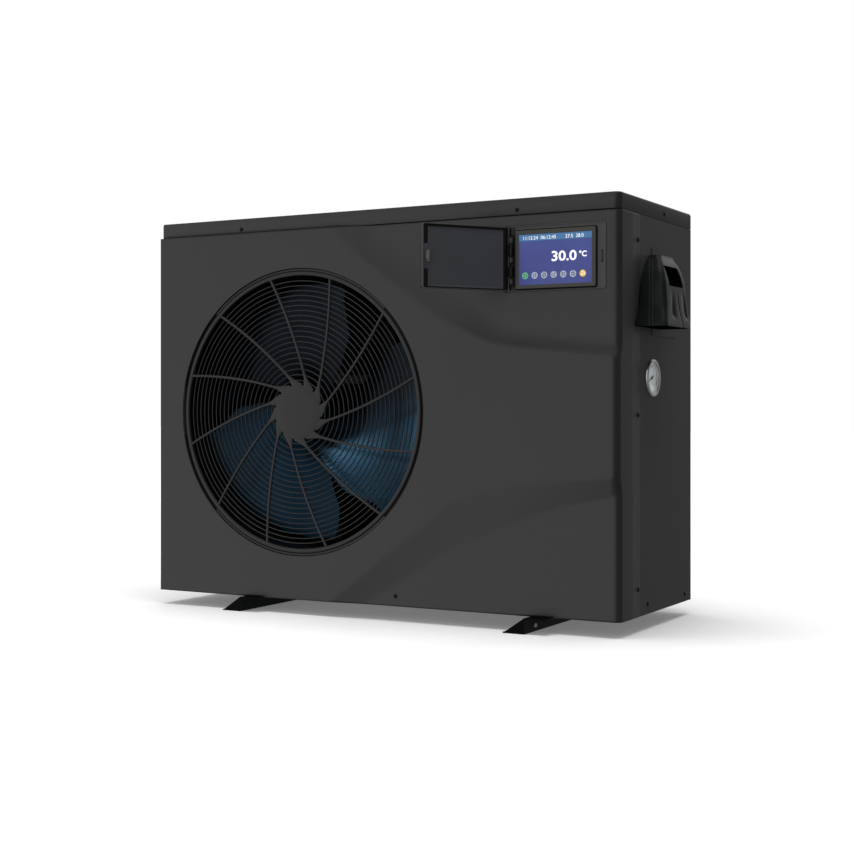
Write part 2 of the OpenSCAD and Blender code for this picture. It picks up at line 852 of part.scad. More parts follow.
module coil_end_plates() {
    color([0.72, 0.73, 0.74]) {
        block([coil_left_x - 3, coil_front_y - plate_t, coil_z - 2.5],
            [coil_left_x + coil_t + 3, coil_front_y, coil_top + 2]);
        block([coil_right_x, coil_back_y - coil_t - 1, coil_z - 2.5],
            [coil_right_x + plate_t, coil_back_y + 4, coil_top + 2]);
    }
}

module evaporator_tubes() {
    color([0.72, 0.42, 0.28]) for (k = [0 : bend_count - 1]) for (row = [10, 30]) {
        z = coil_z + 24 + bend_r + 2 * coil_pitch * k;
        translate([coil_left_x + row, coil_front_y - plate_t, z]) rotate([180, -90, 0])
            rotate_extrude(angle = 180) translate([bend_r, 0]) circle(coil_tube_r);
        translate([coil_right_x + plate_t, coil_back_y - coil_t + row, z]) rotate([90, 0, 0]) rotate([0, 0, -90])
            rotate_extrude(angle = 180) translate([bend_r, 0]) circle(coil_tube_r);
    }
}

// ---------- refrigerant circuit ----------

module compressor() {
    color([0.05, 0.05, 0.055]) translate([compressor_at.x, compressor_at.y, 0]) {
        vessel(compressor_r, 75, 298);
        difference() {
            translate([0, 0, 45]) cylinder(r = 80, h = 4);
            for (a = [30, 150, 270]) rotate(a) translate([70, 0, 44]) cylinder(r = 6, h = 8);
        }
        translate([0, 0, 49]) cylinder(r = 36, h = 20);
        translate([-25, 0, 285]) cylinder(r = 10, h = 45);
    }
}

module compressor_mounts() {
    color([0.03, 0.03, 0.03]) translate([compressor_at.x, compressor_at.y, 0])
        for (a = [30, 150, 270]) rotate(a) translate([70, 0, 0]) {
            translate([0, 0, floor_z]) cylinder(r = 15, h = 45 - floor_z);
            translate([0, 0, 45]) cylinder(r = 6, h = 4);
            translate([0, 0, 49]) cylinder(r = 11, h = 5);
        }
}

module accumulator() {
    gap = norm(compressor_at - accumulator_at);
    turn = atan2(accumulator_at.y - compressor_at.y, accumulator_at.x - compressor_at.x);
    color([0.05, 0.05, 0.055]) {
        translate([accumulator_at.x, accumulator_at.y, 0]) {
            vessel(accumulator_r, 92, 240);
            translate([0, 0, 240]) cylinder(r = 10, h = 22);
        }
        difference() {
            translate([compressor_at.x, compressor_at.y, 120]) rotate([0, 90, turn]) cylinder(r = 8, h = gap);
            translate([compressor_at.x, compressor_at.y, 100]) cylinder(r = compressor_r, h = 40);
        }
    }
}

module discharge_pipe() {
    x = compressor_at.x - 25;
    color([0.72, 0.42, 0.28])
        pipe_run([
            [x, compressor_at.y, 330], [x, compressor_at.y, 500], [x, valve_y, 500],
            [245, valve_y, 500], [245, valve_y, valve_z + 25]
        ], gas_r, 12);
}

module suction_pipe() {
    color([0.72, 0.42, 0.28])
        pipe_run([
            [accumulator_at.x, accumulator_at.y, 262], [accumulator_at.x, accumulator_at.y, 350],
            [245, accumulator_at.y, 350], [245, valve_y, 350], [245, valve_y, valve_z - 25]
        ], gas_r + 1, 16);
}

// The pipes from the valve to the exchanger and to the coil's header, with the header itself
module gas_pipes() {
    header_x = 185;
    header_y = coil_back_y - coil_t / 2;
    color([0.72, 0.42, 0.28]) {
        pipe_run([
            [275, valve_y, valve_z - 25], [275, valve_y, 400], [275, 150, 400], [275, 150, 538],
            [shell_at.x, 150, 538], [shell_at.x, 100, 538], [shell_at.x, 100, lid_top]
        ], gas_r, 12);
        pipe_run([
            [215, valve_y, valve_z - 25], [215, valve_y, 300], [215, header_y, 300], [header_x, header_y, 300]
        ], gas_r, 12);
        translate([header_x, header_y, 80]) cylinder(r = 9, h = 600);
        for (k = [0 : 5]) along_x(partition_x, header_y, 120 + 100 * k) cylinder(r = 3, h = header_x - partition_x);
    }
}

module four_way_valve() {
    color([0.78, 0.6, 0.3]) {
        along_x(190, valve_y, valve_z) cylinder(r = 14, h = 110);
        for (x = [215, 245, 275]) translate([x, valve_y, valve_z - 25]) cylinder(r = 9, h = 25);
        translate([245, valve_y, valve_z]) cylinder(r = 9, h = 25);
    }
}

module expansion_valve() {
    color([0.78, 0.6, 0.3]) translate([300, 20, 0]) {
        translate([0, 0, 470]) cylinder(r = 12, h = 26);
        translate([0, 0, 496]) cylinder(r = 8, h = 14);
        translate([0, -24, 476]) cube([14, 20, 14]);
    }
}

// The liquid pipe, the distributor and its thin tubes into the coil
module liquid_line() {
    color([0.72, 0.42, 0.28]) {
        pipe_run([[shell_at.x, 20, lid_top], [shell_at.x, 20, 538], [300, 20, 538], [300, 20, 510]], liquid_r, 10);
        pipe_run([
            [300, 20, 470], [300, 20, 448], [200, 20, 448], [200, 70, 448], [200, 70, 425]
        ], liquid_r, 10);
        translate([200, 70, 405]) cylinder(r = 9, h = 20);
        for (k = [0 : 2])
            pipe_run([
                [194.5 + 5.5 * k, 70, 405], [194.5 + 5.5 * k, 70, 380 - 30 * k],
                [194.5 + 5.5 * k, 136, 380 - 30 * k], [partition_x, 136, 380 - 30 * k]
            ], capillary_r, 8);
    }
}

// ---------- water side ----------

module exchanger_shell() {
    color([0.1, 0.1, 0.11]) difference() {
        union() {
            translate([shell_at.x, shell_at.y, floor_z]) cylinder(r = shell_r, h = shell_top - floor_z, $fn = 72);
            for (z = [inlet_z, outlet_z])
                along_y(shell_at.x, shell_at.y, z) cylinder(r = port_r, h = port_end_y - shell_at.y);
        }
        translate([shell_at.x, shell_at.y, floor_z + 40])
            cylinder(r = shell_r - 4, h = shell_top - floor_z - 39, $fn = 72);
        for (z = [inlet_z, outlet_z])
            along_y(shell_at.x, shell_at.y, z) cylinder(r = port_in_r, h = port_end_y);
    }
}

module exchanger_lid() {
    color([0.1, 0.1, 0.11]) translate([shell_at.x, shell_at.y, shell_top])
        cylinder(r = shell_r + 4, h = lid_top - shell_top, $fn = 72);
}

// The titanium coil inside the exchanger, swept round a helix
coil_turns = 10;
coil_segments = 14;
coil_sides = 6;
coil_helix_r = 50;
coil_helix_tube = 8;
coil_helix_z0 = 100;
coil_helix_rise = 34;

function helix_point(k, s) =
    let (a = 360 * k / coil_segments, b = 360 * s / coil_sides,
        r = coil_helix_r + coil_helix_tube * cos(b))
    [r * cos(a), r * sin(a), coil_helix_rise * k / coil_segments + coil_helix_tube * sin(b)];

module titanium_coil() {
    count = coil_turns * coil_segments;
    points = [for (k = [0 : count]) for (s = [0 : coil_sides - 1]) helix_point(k, s)];
    sides = [
        for (k = [0 : count - 1]) for (s = [0 : coil_sides - 1])
            let (a = k * coil_sides + s, b = k * coil_sides + (s + 1) % coil_sides)
            each [[a, b, a + coil_sides], [b, b + coil_sides, a + coil_sides]]
    ];
    first_end = [[for (s = [coil_sides - 1 : -1 : 0]) s]];
    last_end = [[for (s = [0 : coil_sides - 1]) count * coil_sides + s]];
    color([0.6, 0.58, 0.55]) translate([shell_at.x, shell_at.y, coil_helix_z0])
        polyhedron(points, concat(sides, first_end, last_end), convexity = 10);
}

// The tail pieces that take the pool's pipes, one at each union
module union_sockets() {
    color([0.85, 0.86, 0.87]) for (z = [inlet_z, outlet_z]) difference() {
        union() {
            along_y(shell_at.x, port_end_y + seal_t, z) cylinder(r = port_r, h = flange_t);
            along_y(shell_at.x, port_end_y + seal_t, z) cylinder(r = socket_out_r, h = socket_end_y - port_end_y - seal_t);
        }
        along_y(shell_at.x, port_end_y, z) cylinder(r = 22, h = 60);
        along_y(shell_at.x, port_end_y + seal_t + 5, z) cylinder(r = socket_r, h = 60);
    }
}

module union_seals() {
    color([0.03, 0.03, 0.03]) for (z = [inlet_z, outlet_z])
        along_y(shell_at.x, port_end_y, z) ring(port_r - 1, port_in_r, seal_t);
}

// The ring that pulls a socket on to its port, with ribs for the hand
module union_nut(z, shade) {
    color(shade) difference() {
        union() {
            along_y(shell_at.x, nut_front_y, z) cylinder(r = nut_r - 3, h = nut_end_y - nut_front_y);
            along_y(shell_at.x, nut_front_y, z)
                for (a = [0 : 30 : 330]) rotate(a) translate([nut_r - 6, -4, 0])
                    cube([6, 8, nut_end_y - nut_front_y]);
        }
        along_y(shell_at.x, nut_front_y - 1, z) cylinder(r = port_r + 0.3, h = nut_lip_y - nut_front_y + 1);
        along_y(shell_at.x, nut_front_y, z) cylinder(r = socket_out_r + run_gap, h = 60);
    }
}

module inlet_nut() {
    union_nut(inlet_z, [0.1, 0.25, 0.5]);
}

module outlet_nut() {
    union_nut(outlet_z, [0.55, 0.12, 0.1]);
}

module flow_switch() {
    color([0.12, 0.12, 0.13]) difference() {
        union() {
            translate([shell_at.x, 162, inlet_z]) cylinder(r = 11, h = port_r + 14);
            block([shell_at.x - 18, 145, inlet_z + port_r + 14], [shell_at.x + 18, 178, inlet_z + port_r + 44]);
        }
        along_y(shell_at.x, 100, inlet_z) cylinder(r = port_r, h = 100);
    }
}

// ---------- electrics ----------

module electrical_box() {
    color([0.66, 0.67, 0.68]) difference() {
        block([partition_x + steel_t, box_front_y, box_z], [box_right_x, box_back_y, box_top]);
        block([partition_x + 2 * steel_t, box_front_y + steel_t, box_z + steel_t],
            [box_right_x - steel_t, box_back_y - steel_t, box_top + 1]);
        along_x(box_right_x - 5, wire_hole.x, wire_hole.y) cylinder(r = wire_hole_r, h = 20);
    }
}

// The inverter board on its pillars, with capacitors, a choke, relays and cable terminals
module main_board() {
    board_z = box_z + 12;
    color([0.08, 0.3, 0.16]) {
        block([180, -138, board_z], [400, -38, board_z + 1.6]);
        for (x = [186, 394]) for (y = [-132, -44]) translate([x, y, box_z + steel_t]) cylinder(r = 3, h = 12);
        for (k = [0 : 3]) translate([205 + 28 * k, -115, board_z]) cylinder(r = 12, h = 42);
        translate([340, -110, board_z]) ring(18, 8, 22);
        for (k = [0 : 4]) block([190 + 24 * k, -70, board_z], [208 + 24 * k, -46, board_z + 17]);
        block([330, -72, board_z], [390, -46, board_z + 20]);
    }
}

// ---------- display ----------

module display_frame() {
    color([0.25, 0.25, 0.25]) difference() {
        union() {
            rounded_slab(frame_x, frame_z, frame_x + frame_w, frame_z + frame_h, 6, frame_y, inner_sunk_y + 6);
            rounded_slab(frame_x - 6, frame_z - 6, frame_x + frame_w + 6, frame_z + frame_h + 6, 8,
                inner_sunk_y, inner_sunk_y + 2);
            for (z = frame_knuckles) {
                translate([hinge_at.x, hinge_at.y, z - knuckle_half]) cylinder(r = hinge_r, h = 2 * knuckle_half);
                block([hinge_at.x - hinge_r, hinge_at.y, z - knuckle_half],
                    [hinge_at.x + hinge_r, frame_y + 1, z + knuckle_half]);
            }
        }
        rounded_slab(screen_lo.x, screen_lo.y, screen_hi.x, screen_hi.y, 3, frame_y - 1, 0);
        block([hinge_at.x + latch_u - 2, frame_y - 1, latch_z - 9], [hinge_at.x + latch_u + 2, frame_y + 6, latch_z + 9]);
        translate([hinge_at.x, hinge_at.y, 600]) cylinder(r = hinge_pin_r, h = 120);
    }
}

// The panel of glass in the face of the display module
module touch_glass() {
    color([0.2, 0.24, 0.45])
        block([screen_lo.x + 7, screen_y, screen_lo.y + 6], [screen_hi.x - 9, screen_y + 1.5, screen_hi.y - 8]);
}

module display_module() {
    color([0.16, 0.16, 0.15]) difference() {
        rounded_slab(screen_lo.x, screen_lo.y, screen_hi.x, screen_hi.y, 3, screen_y, screen_y + 17);
        block([screen_lo.x + 7, screen_y - 1, screen_lo.y + 6],
            [screen_hi.x - 9, screen_y + 1.5, screen_hi.y - 8]);
    }
}

module hinge_pin() {
    color([0.7, 0.71, 0.72]) translate([hinge_at.x, hinge_at.y, 610]) cylinder(r = hinge_pin_r, h = 94);
}

// The door is drawn shut, from its hinge: u runs to its free edge, and the outside is at -Y
module at_hinge() {
    translate([hinge_at.x, hinge_at.y, 0]) rotate([0, 0, -door_open]) children();
}

module display_door() {
    z0 = frame_z + 0.5;
    z1 = frame_z + frame_h - 0.5;
    color([0.1, 0.1, 0.11]) at_hinge() difference() {
        union() {
            block([2.2, -door_face, z0], [door_w, -door_face + door_t, z1]);
            block([door_w - door_rim_t, -door_face, z0], [door_w, -door_rim_back, z1]);
            for (z = [z0, z1 - door_rim_t]) block([6, -door_face, z], [door_w, -door_rim_back, z + door_rim_t]);
            for (k = door_knuckles) {
                translate([0, 0, k.x]) cylinder(r = hinge_r, h = k.y - k.x);
                block([2.2, -door_face, k.x], [4.5, 1, k.y]);
            }
        }
        translate([0, 0, 600]) cylinder(r = hinge_pin_r + run_gap, h = 120);
    }
}

// The spring tab that hooks into the frame's slot
module door_latch() {
    color([0.12, 0.12, 0.13]) at_hinge() {
        block([latch_u - 1, door_t - door_face, latch_z - 7], [latch_u + 1, 8, latch_z + 7]);
        block([latch_u - 2, door_t - door_face, latch_z - 10], [latch_u + 2, door_t - door_face + 2, latch_z + 10]);
    }
}

// ---------- right-hand fittings ----------

// The cover over the wiring hole, with a shelf that holds the cable glands
module service_cover() {
    color([0.22, 0.22, 0.22]) difference() {
        union() {
            block([x_right, cover_lo.x, cover_lo.y], [x_right + cover_t, cover_hi.x, cover_hi.y]);
            block([x_right, cover_tab_lo.x, cover_tab_lo.y], [x_right + cover_t, cover_tab_hi.x, cover_tab_hi.y]);
            block([x_right, cover_tab_lo.x, shelf_z], [x_right + 42, 14, shelf_z + 2]);
        }
        along_x(x_right - 5, wire_hole.x, wire_hole.y) cylinder(r = wire_hole_r, h = 20);
        for (y = gland_spots) translate([gland_x, y, shelf_z - 1]) cylinder(r = 8, h = 4);
    }
}

// Levels of the hood: height, near edge, far edge and reach from the wall
hood_levels = [[539, -114, 22, 58], [574, -93, 25, 50], [632, -80, 30, 41], [669.5, -41, 27, 19]];

// One level of the hood: flat on the wall, with round outer corners
module hood_level(z, near, far, reach, inset) {
    r = min(14, reach / 2) - inset / 2;
    translate([hood_x, 0, z]) linear_extrude(0.2) {
        translate([0, near + inset]) square([1, far - near - 2 * inset]);
        for (y = [near + r + inset, far - r - inset]) translate([reach - r - inset, y]) circle(r, $fn = 24);
    }
}

module hood_solid(inset, drop) {
    last = len(hood_levels) - 1;
    for (k = [0 : last - 1]) let (a = hood_levels[k], b = hood_levels[k + 1]) hull() {
        hood_level(a[0] - (k == 0 ? drop : 0), a[1], a[2], a[3], inset);
        hood_level(b[0] - 0.2 - (k == last - 1 ? inset : 0), b[1], b[2], b[3], inset);
    }
}

module cable_hood() {
    color([0.03, 0.03, 0.035]) difference() {
        hood_solid(0, 0);
        hood_solid(3, 1);
        block([x_right - 1, -150, 530], [hood_x + 0.05, 60, 700]);
        block([hood_x + 20, -61, 612], [hood_x + 80, 11, 648.5]);
    }
}

module cable_glands() {
    color([0.1, 0.1, 0.105]) for (y = gland_spots) translate([gland_x, y, 0]) difference() {
        union() {
            translate([0, 0, 545]) cylinder(r = 12, h = shelf_z - 545);
            translate([0, 0, shelf_z]) cylinder(r = 8, h = 2);
            translate([0, 0, shelf_z + 2]) cylinder(r = 12, h = 7, $fn = 6);
        }
        translate([0, 0, 540]) cylinder(r = gland_r, h = 40);
    }
}

module gauge_case() {
    color([0.1, 0.1, 0.105]) difference() {
        along_x(x_right - 28, gauge_at.x, gauge_at.y) cylinder(r = gauge_r - 4, h = 28);
        along_x(x_right - 26, gauge_at.x, gauge_at.y) cylinder(r = gauge_r - 6, h = 30);
    }
}

module gauge_bezel() {
    color([0.75, 0.76, 0.77]) along_x(x_right, gauge_at.x, gauge_at.y) difference() {
        cylinder(r1 = gauge_r, r2 = gauge_r - 1.5, h = 4);
        translate([0, 0, -1]) cylinder(r = gauge_r - 6, h = 4);
        translate([0, 0, 1]) cylinder(r = gauge_r - 7.5, h = 6);
    }
}

module gauge_dial() {
    color([0.9, 0.9, 0.88]) along_x(x_right - 4, gauge_at.x, gauge_at.y) difference() {
        cylinder(r = gauge_r - 6, h = 1);
        translate([0, 0, -1]) cylinder(r = 1 + run_gap, h = 4);
    }
}

module gauge_glass() {
    color([0.8, 0.85, 0.9, 0.4])
        along_x(x_right + 1.5, gauge_at.x, gauge_at.y) cylinder(r = gauge_r - 6, h = 1.5);
}

// The pointer, its tail and its spindle through the dial
module gauge_needle() {
    color([0.05, 0.05, 0.05]) translate([x_right, gauge_at.x, gauge_at.y]) rotate([needle_rest, 0, 0]) {
        along_x(-8, 0, 0) cylinder(r = 1, h = 6);
        along_x(-2.5, 0, 0) cylinder(r = 3, h = 1.5);
        block([-2.2, 0, -0.8], [-1.6, 22, 0.8]);
        block([-2.2, -9, -1.6], [-1.6, 0, 1.6]);
    }
}

base_tray();
left_foot();
right_foot();
foot_fasteners();
drain_spout();
front_panel();
right_side_panel();
rear_panel();
left_guard();
rear_guard();
corner_post();
top_cover();
partition_panel();
cap_screws();
panel_screws();
fan_grille();
fan_shroud();
motor_bracket();
motor_case();
motor_bearings();
motor_rotor();
fan_shaft();
fan_blades();
fan_nut();
evaporator_fins();
coil_end_plates();
evaporator_tubes();
compressor();
compressor_mounts();
accumulator();
exchanger_shell();
exchanger_lid();
titanium_coil();
union_sockets();
union_seals();
inlet_nut();
outlet_nut();
flow_switch();
four_way_valve();
expansion_valve();
discharge_pipe();
suction_pipe();
gas_pipes();
liquid_line();
electrical_box();
main_board();
display_frame();
display_module();
touch_glass();
hinge_pin();
display_door();
door_latch();
service_cover();
cable_hood();
cable_glands();
gauge_case();
gauge_bezel();
gauge_dial();
gauge_glass();
gauge_needle();
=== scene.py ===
"""Pool heat pump: the looks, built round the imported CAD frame. Metres, Z up, front at -Y."""
import json
import math

import bmesh
import bpy
from mathutils import Matrix, Vector


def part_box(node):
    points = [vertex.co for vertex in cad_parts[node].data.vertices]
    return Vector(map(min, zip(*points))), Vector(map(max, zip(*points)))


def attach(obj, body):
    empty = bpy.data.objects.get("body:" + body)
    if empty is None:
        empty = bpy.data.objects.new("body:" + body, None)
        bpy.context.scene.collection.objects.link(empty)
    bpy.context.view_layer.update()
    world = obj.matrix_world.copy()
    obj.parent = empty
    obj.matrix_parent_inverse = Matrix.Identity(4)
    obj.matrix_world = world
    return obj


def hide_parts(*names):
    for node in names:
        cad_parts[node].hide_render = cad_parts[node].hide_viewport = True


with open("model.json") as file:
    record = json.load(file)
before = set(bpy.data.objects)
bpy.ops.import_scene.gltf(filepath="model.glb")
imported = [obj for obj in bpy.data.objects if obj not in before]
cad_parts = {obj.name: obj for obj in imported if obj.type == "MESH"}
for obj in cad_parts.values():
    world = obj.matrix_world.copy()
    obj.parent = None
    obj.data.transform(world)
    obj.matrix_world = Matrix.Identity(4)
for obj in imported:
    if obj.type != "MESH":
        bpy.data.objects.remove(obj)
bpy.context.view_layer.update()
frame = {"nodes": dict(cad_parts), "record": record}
scene = bpy.context.scene

MM = 0.001
UNIT = "unit"


# ---------- what the frame says ----------

def low(node):
    return Vector(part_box(node)[0])


def high(node):
    return Vector(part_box(node)[1])


def joint(name):
    for entry in frame["record"]["behaviour"]["joints"]:
        if entry["name"] == name:
            return entry
    raise KeyError(name)


def joint_place(name):
    return Vector(joint(name)["pos_m"])


# how deep the front's fields are sunk, the radius of the cabinet's corner, the web of the right rail
RELIEF = 9 * MM
CORNER = 14 * MM
RAIL_WEB = 327 * MM
# radius of the round air outlet in the front panel
OUTLET_R = 274.5 * MM

X_LEFT = low("front_panel").x
X_RIGHT = high("front_panel").x
Y_FRONT = low("front_panel").y
Y_SUNK = Y_FRONT + RELIEF
Y_CAP = low("top_cover").y
Y_REAR = high("rear_panel").y
Z_BASE = low("front_panel").z
Z_SEAM = low("top_cover").z
Z_PANEL = Z_SEAM - 1 * MM
Z_TOP = high("top_cover").z
SIDE_SEAM = high("front_panel").y
FAN = joint_place("fan_spin")
HINGE = joint_place("door_hinge")
GAUGE = joint_place("needle_swing")


# ---------- materials ----------

def feed(tree, node, **inputs):
    """Gives a node's inputs values, or sockets to link; their names are written with _ for a space."""
    for name, value in inputs.items():
        socket = node.inputs[name.replace("_", " ")]
        if isinstance(value, bpy.types.NodeSocket):
            tree.links.new(value, socket)
        else:
            socket.default_value = value


def add_node(tree, kind, settings=None, **inputs):
    node = tree.nodes.new("ShaderNode" + kind)
    for name, value in (settings or {}).items():
        setattr(node, name, value)
    feed(tree, node, **inputs)
    return node


def opaque(color):
    return list(color) + [1.0]


def add_mottle(tree, where, bsdf, color, mottle, mottle_scale):
    noise = add_node(tree, "TexNoise", Vector=where, Scale=mottle_scale, Detail=4).outputs["Fac"]
    ramp = add_node(tree, "ValToRGB", Fac=noise)
    for element, gain, place in zip(ramp.color_ramp.elements, (1 - mottle, 1 + mottle), (0.35, 0.65)):
        element.color = opaque(min(1.0, c * gain) for c in color)
        element.position = place
    feed(tree, bsdf, Base_Color=ramp.outputs["Color"])
    return noise


def add_grain(tree, where, bsdf, scale, height, stretch):
    mapping = add_node(tree, "Mapping", Vector=where, Scale=stretch)
    grain = add_node(tree, "TexNoise", Vector=mapping.outputs["Vector"], Scale=scale, Detail=3)
    bump = add_node(tree, "Bump", Height=grain.outputs["Fac"], Strength=0.5, Distance=height)
    feed(tree, bsdf, Normal=bump.outputs["Normal"])


PAINTS = {}


def material(name, color, rough=0.5, metal=0.0, spec=0.5, coat=0.0, mottle=0.08, mottle_scale=9.0,
             rough_spread=0.05, grain=900.0, height=0.03 * MM, stretch=(1, 1, 1), glow=0.0, clear=0.0):
    """A paint or plastic: mottled colour, uneven gloss and a fine grain; glow is its own light.

    It is kept in PAINTS too, for the CAD nodes whose slot in the record has its name.
    """
    mat = bpy.data.materials.new(name)
    mat.use_nodes = True
    tree = mat.node_tree
    bsdf = tree.nodes["Principled BSDF"]
    where = add_node(tree, "TexCoord").outputs["Object"]
    noise = add_mottle(tree, where, bsdf, color, mottle, mottle_scale)
    between = add_node(tree, "MapRange", Value=noise, To_Min=max(0.02, rough - rough_spread),
                       To_Max=min(1.0, rough + rough_spread))
    if height:
        add_grain(tree, where, bsdf, grain, height, stretch)
    feed(tree, bsdf, Roughness=between.outputs["Result"], Metallic=metal, Specular_IOR_Level=spec,
         Coat_Weight=coat, Coat_Roughness=0.12, Transmission_Weight=clear)
    if glow:
        feed(tree, bsdf, Emission_Color=opaque(color), Emission_Strength=glow)
    PAINTS[name] = mat
    return mat


FRONT = material("front_moulding", (0.021, 0.021, 0.0212), 0.38, mottle=0.05, grain=1400)
COVER = material("cover_paint", (0.022, 0.022, 0.0222), 0.4, mottle=0.05, grain=1100)
SIDE = material("side_paint", (0.088, 0.088, 0.0885), 0.5, spec=0.14, mottle=0.05, grain=1100,
                height=0.04 * MM)
RAIL = material("rail_paint", (0.006, 0.006, 0.0065), 0.5, spec=0.05, mottle=0.15, grain=700)
material("tray_paint", (0.012, 0.012, 0.013), 0.5, spec=0.3, mottle=0.12)
SCREW = material("black_screw", (0.006, 0.006, 0.006), 0.35, metal=0.6, mottle=0.2, grain=2500)
SHROUD = material("black_plastic", (0.006, 0.006, 0.007), 0.55, spec=0.25, mottle=0.15)
GRILLE = material("grille_plastic", (0.026, 0.026, 0.027), 0.45, spec=0.35, mottle=0.06, grain=1800)
BLADE = material("fan_plastic", (0.0008, 0.0185, 0.036), 0.3, metal=0.75, spec=0.4, mottle=0.3,
                 mottle_scale=7, grain=500, height=0.06 * MM)
material("motor_paint", (0.008, 0.008, 0.01), 0.45, metal=0.3, mottle=0.2)
material("zinc_steel", (0.35, 0.36, 0.38), 0.35, metal=1.0, mottle=0.2, grain=1500)
material("galvanised", (0.1, 0.1, 0.105), 0.5, metal=0.8, mottle=0.35, mottle_scale=60)
# painted highlight: a near-white bolt standing for a glint
BOLT_GLINT = material("bolt_painted_glint", (0.7, 0.7, 0.7), 0.4, metal=0.2, mottle=0.1)
material("shaft_steel", (0.5, 0.51, 0.52), 0.25, metal=1.0, stretch=(1, 40, 1))
FIN = material("fin_aluminium", (0.02, 0.045, 0.09), 0.45, metal=0.4, mottle=0.3, mottle_scale=30)
material("copper", (0.45, 0.18, 0.09), 0.35, metal=1.0, mottle=0.25, mottle_scale=25)
material("brass", (0.5, 0.33, 0.12), 0.3, metal=1.0, mottle=0.2)
material("black_enamel", (0.008, 0.008, 0.009), 0.3, coat=0.4, mottle=0.15)
material("rubber", (0.01, 0.01, 0.01), 0.8, spec=0.2, mottle=0.2)
material("titanium", (0.3, 0.29, 0.27), 0.35, metal=1.0)
material("white_plastic", (0.55, 0.56, 0.57), 0.35, mottle=0.05)
material("blue_plastic", (0.015, 0.07, 0.25), 0.35, mottle=0.08)
material("red_plastic", (0.3, 0.02, 0.015), 0.35, mottle=0.08)
material("board_green", (0.01, 0.08, 0.03), 0.4, mottle=0.3, mottle_scale=80)
BEZEL = material("bezel_plastic", (0.042, 0.042, 0.034), 0.35, mottle=0.06)
TRIM = material("frame_plastic", (0.045, 0.046, 0.046), 0.42, mottle=0.06)
DOOR = material("door_plastic", (0.006, 0.0062, 0.007), 0.3, spec=0.3, mottle=0.08)
# painted highlight: a light grey for the door's rim and catch, standing for the light caught along the free
# edge
DOOR_HIGHLIGHT = material("door_edge_highlight", (0.15, 0.15, 0.15), 0.35, mottle=0.06)
# painted light: the door's inside is painted far lighter than its black skin, standing for the light falling
# on it
DOOR_LINING_LIT = material("door_lining_painted_light", (0.085, 0.09, 0.1), 0.42, spec=0.3, mottle=0.06)
HOOD = material("hood_plastic", (0.01, 0.0115, 0.0115), 0.27, spec=0.2, mottle=0.15)
# painted highlight: lighter grey for the hood's parting lines and the cover's edge, standing for the light
# they catch
HOOD_LINE_HIGHLIGHT = material("hood_line_highlight", (0.04, 0.042, 0.042), 0.35, mottle=0.1)
# painted shade: a near black put where the cabinet's gaps and hollows lie in shade
SHADE_BLACK = material("painted_shade_black", (0.002, 0.002, 0.002), 0.8, spec=0.1, mottle=0.2)
CHROME = material("chrome", (0.75, 0.76, 0.77), 0.16, metal=1.0, mottle=0.05, height=0.0)
# painted light: the dial glows, though no lamp lights it from inside
DIAL_GLOW = material("dial_white", (0.85, 0.86, 0.85), 0.45, mottle=0.1, mottle_scale=60, glow=0.12)
INK = material("needle_black", (0.01, 0.01, 0.01), 0.4, mottle=0.2)
LENS = material("gauge_lens", (0.95, 0.97, 1.0), 0.04, mottle=0.01, height=0, clear=1.0, rough_spread=0.01)
SCREEN = material("screen_glass", (0.05, 0.062, 0.21), 0.3, spec=0.25, mottle=0.12, mottle_scale=14,
                  height=0, glow=0.6)
BAR = material("screen_bar", (0.05, 0.14, 0.28), 0.3, spec=0.25, mottle=0.1, height=0, glow=0.8)
LIT = material("screen_white", (0.85, 0.87, 0.9), 0.3, mottle=0.02, height=0, glow=0.7)
ICON = material("screen_icon", (0.3, 0.33, 0.42), 0.3, mottle=0.3, mottle_scale=300, height=0, glow=0.6)
ICON_INK = material("screen_icon_ink", (0.06, 0.07, 0.16), 0.3, mottle=0.1, height=0, glow=0.3)
GREEN = material("screen_green", (0.08, 0.36, 0.16), 0.3, mottle=0.1, height=0, glow=0.6)
YELLOW = material("screen_yellow", (0.62, 0.4, 0.08), 0.3, mottle=0.1, height=0, glow=0.7)


def part_of(tree, output, axis):
    """One axis of a Geometry node's output, as a socket."""
    place = add_node(tree, "NewGeometry").outputs[output]
    return add_node(tree, "SeparateXYZ", Vector=place).outputs[axis]


def mix_base(tree, share, first, second):
    """Makes the paint a mix of two colours."""
    mix = add_node(tree, "Mix", {"data_type": "RGBA"}, Factor=share, A=first, B=second)
    feed(tree, tree.nodes["Principled BSDF"], Base_Color=mix.outputs["Result"])


def shade_upwards(mat, low_z, high_z, shade_tone):
    """Paints shade into the colour: mixes a darker tone in from low_z up to high_z, as painted shade for the
    shade of the deep opening.
    """
    tree = mat.node_tree
    ramp = add_node(tree, "MapRange", {"interpolation_type": "SMOOTHSTEP"},
                    Value=part_of(tree, "Position", "Z"), From_Min=low_z, From_Max=high_z)
    paint = tree.nodes["Principled BSDF"].inputs["Base Color"].links[0].from_socket
    mix_base(tree, ramp.outputs["Result"], paint, opaque(shade_tone))


def shade_by_facing(mat, across, shaded):
    """Paints light and shade by which way a face looks: faces that look along X take the lighter tone across,
    all others the painted shade of shaded.
    """
    tree = mat.node_tree
    size = add_node(tree, "Math", {"operation": "ABSOLUTE"}, Value=part_of(tree, "Normal", "X"))
    mix_base(tree, size.outputs["Value"], opaque(shaded), opaque(across))


# painted shade: the blades darken upward from just below the hub, standing for the shade in the top of the
# opening
shade_upwards(BLADE, FAN.z - 58 * MM, FAN.z + 72 * MM, (0.0007, 0.0045, 0.0095))
# painted light and shade on the rails: web faces that look along X take the lighter tone, ends and flanges
# the near-black painted shade
shade_by_facing(RAIL, (0.02, 0.023, 0.023), (0.0015, 0.0015, 0.0018))


# ---------- mesh helpers ----------

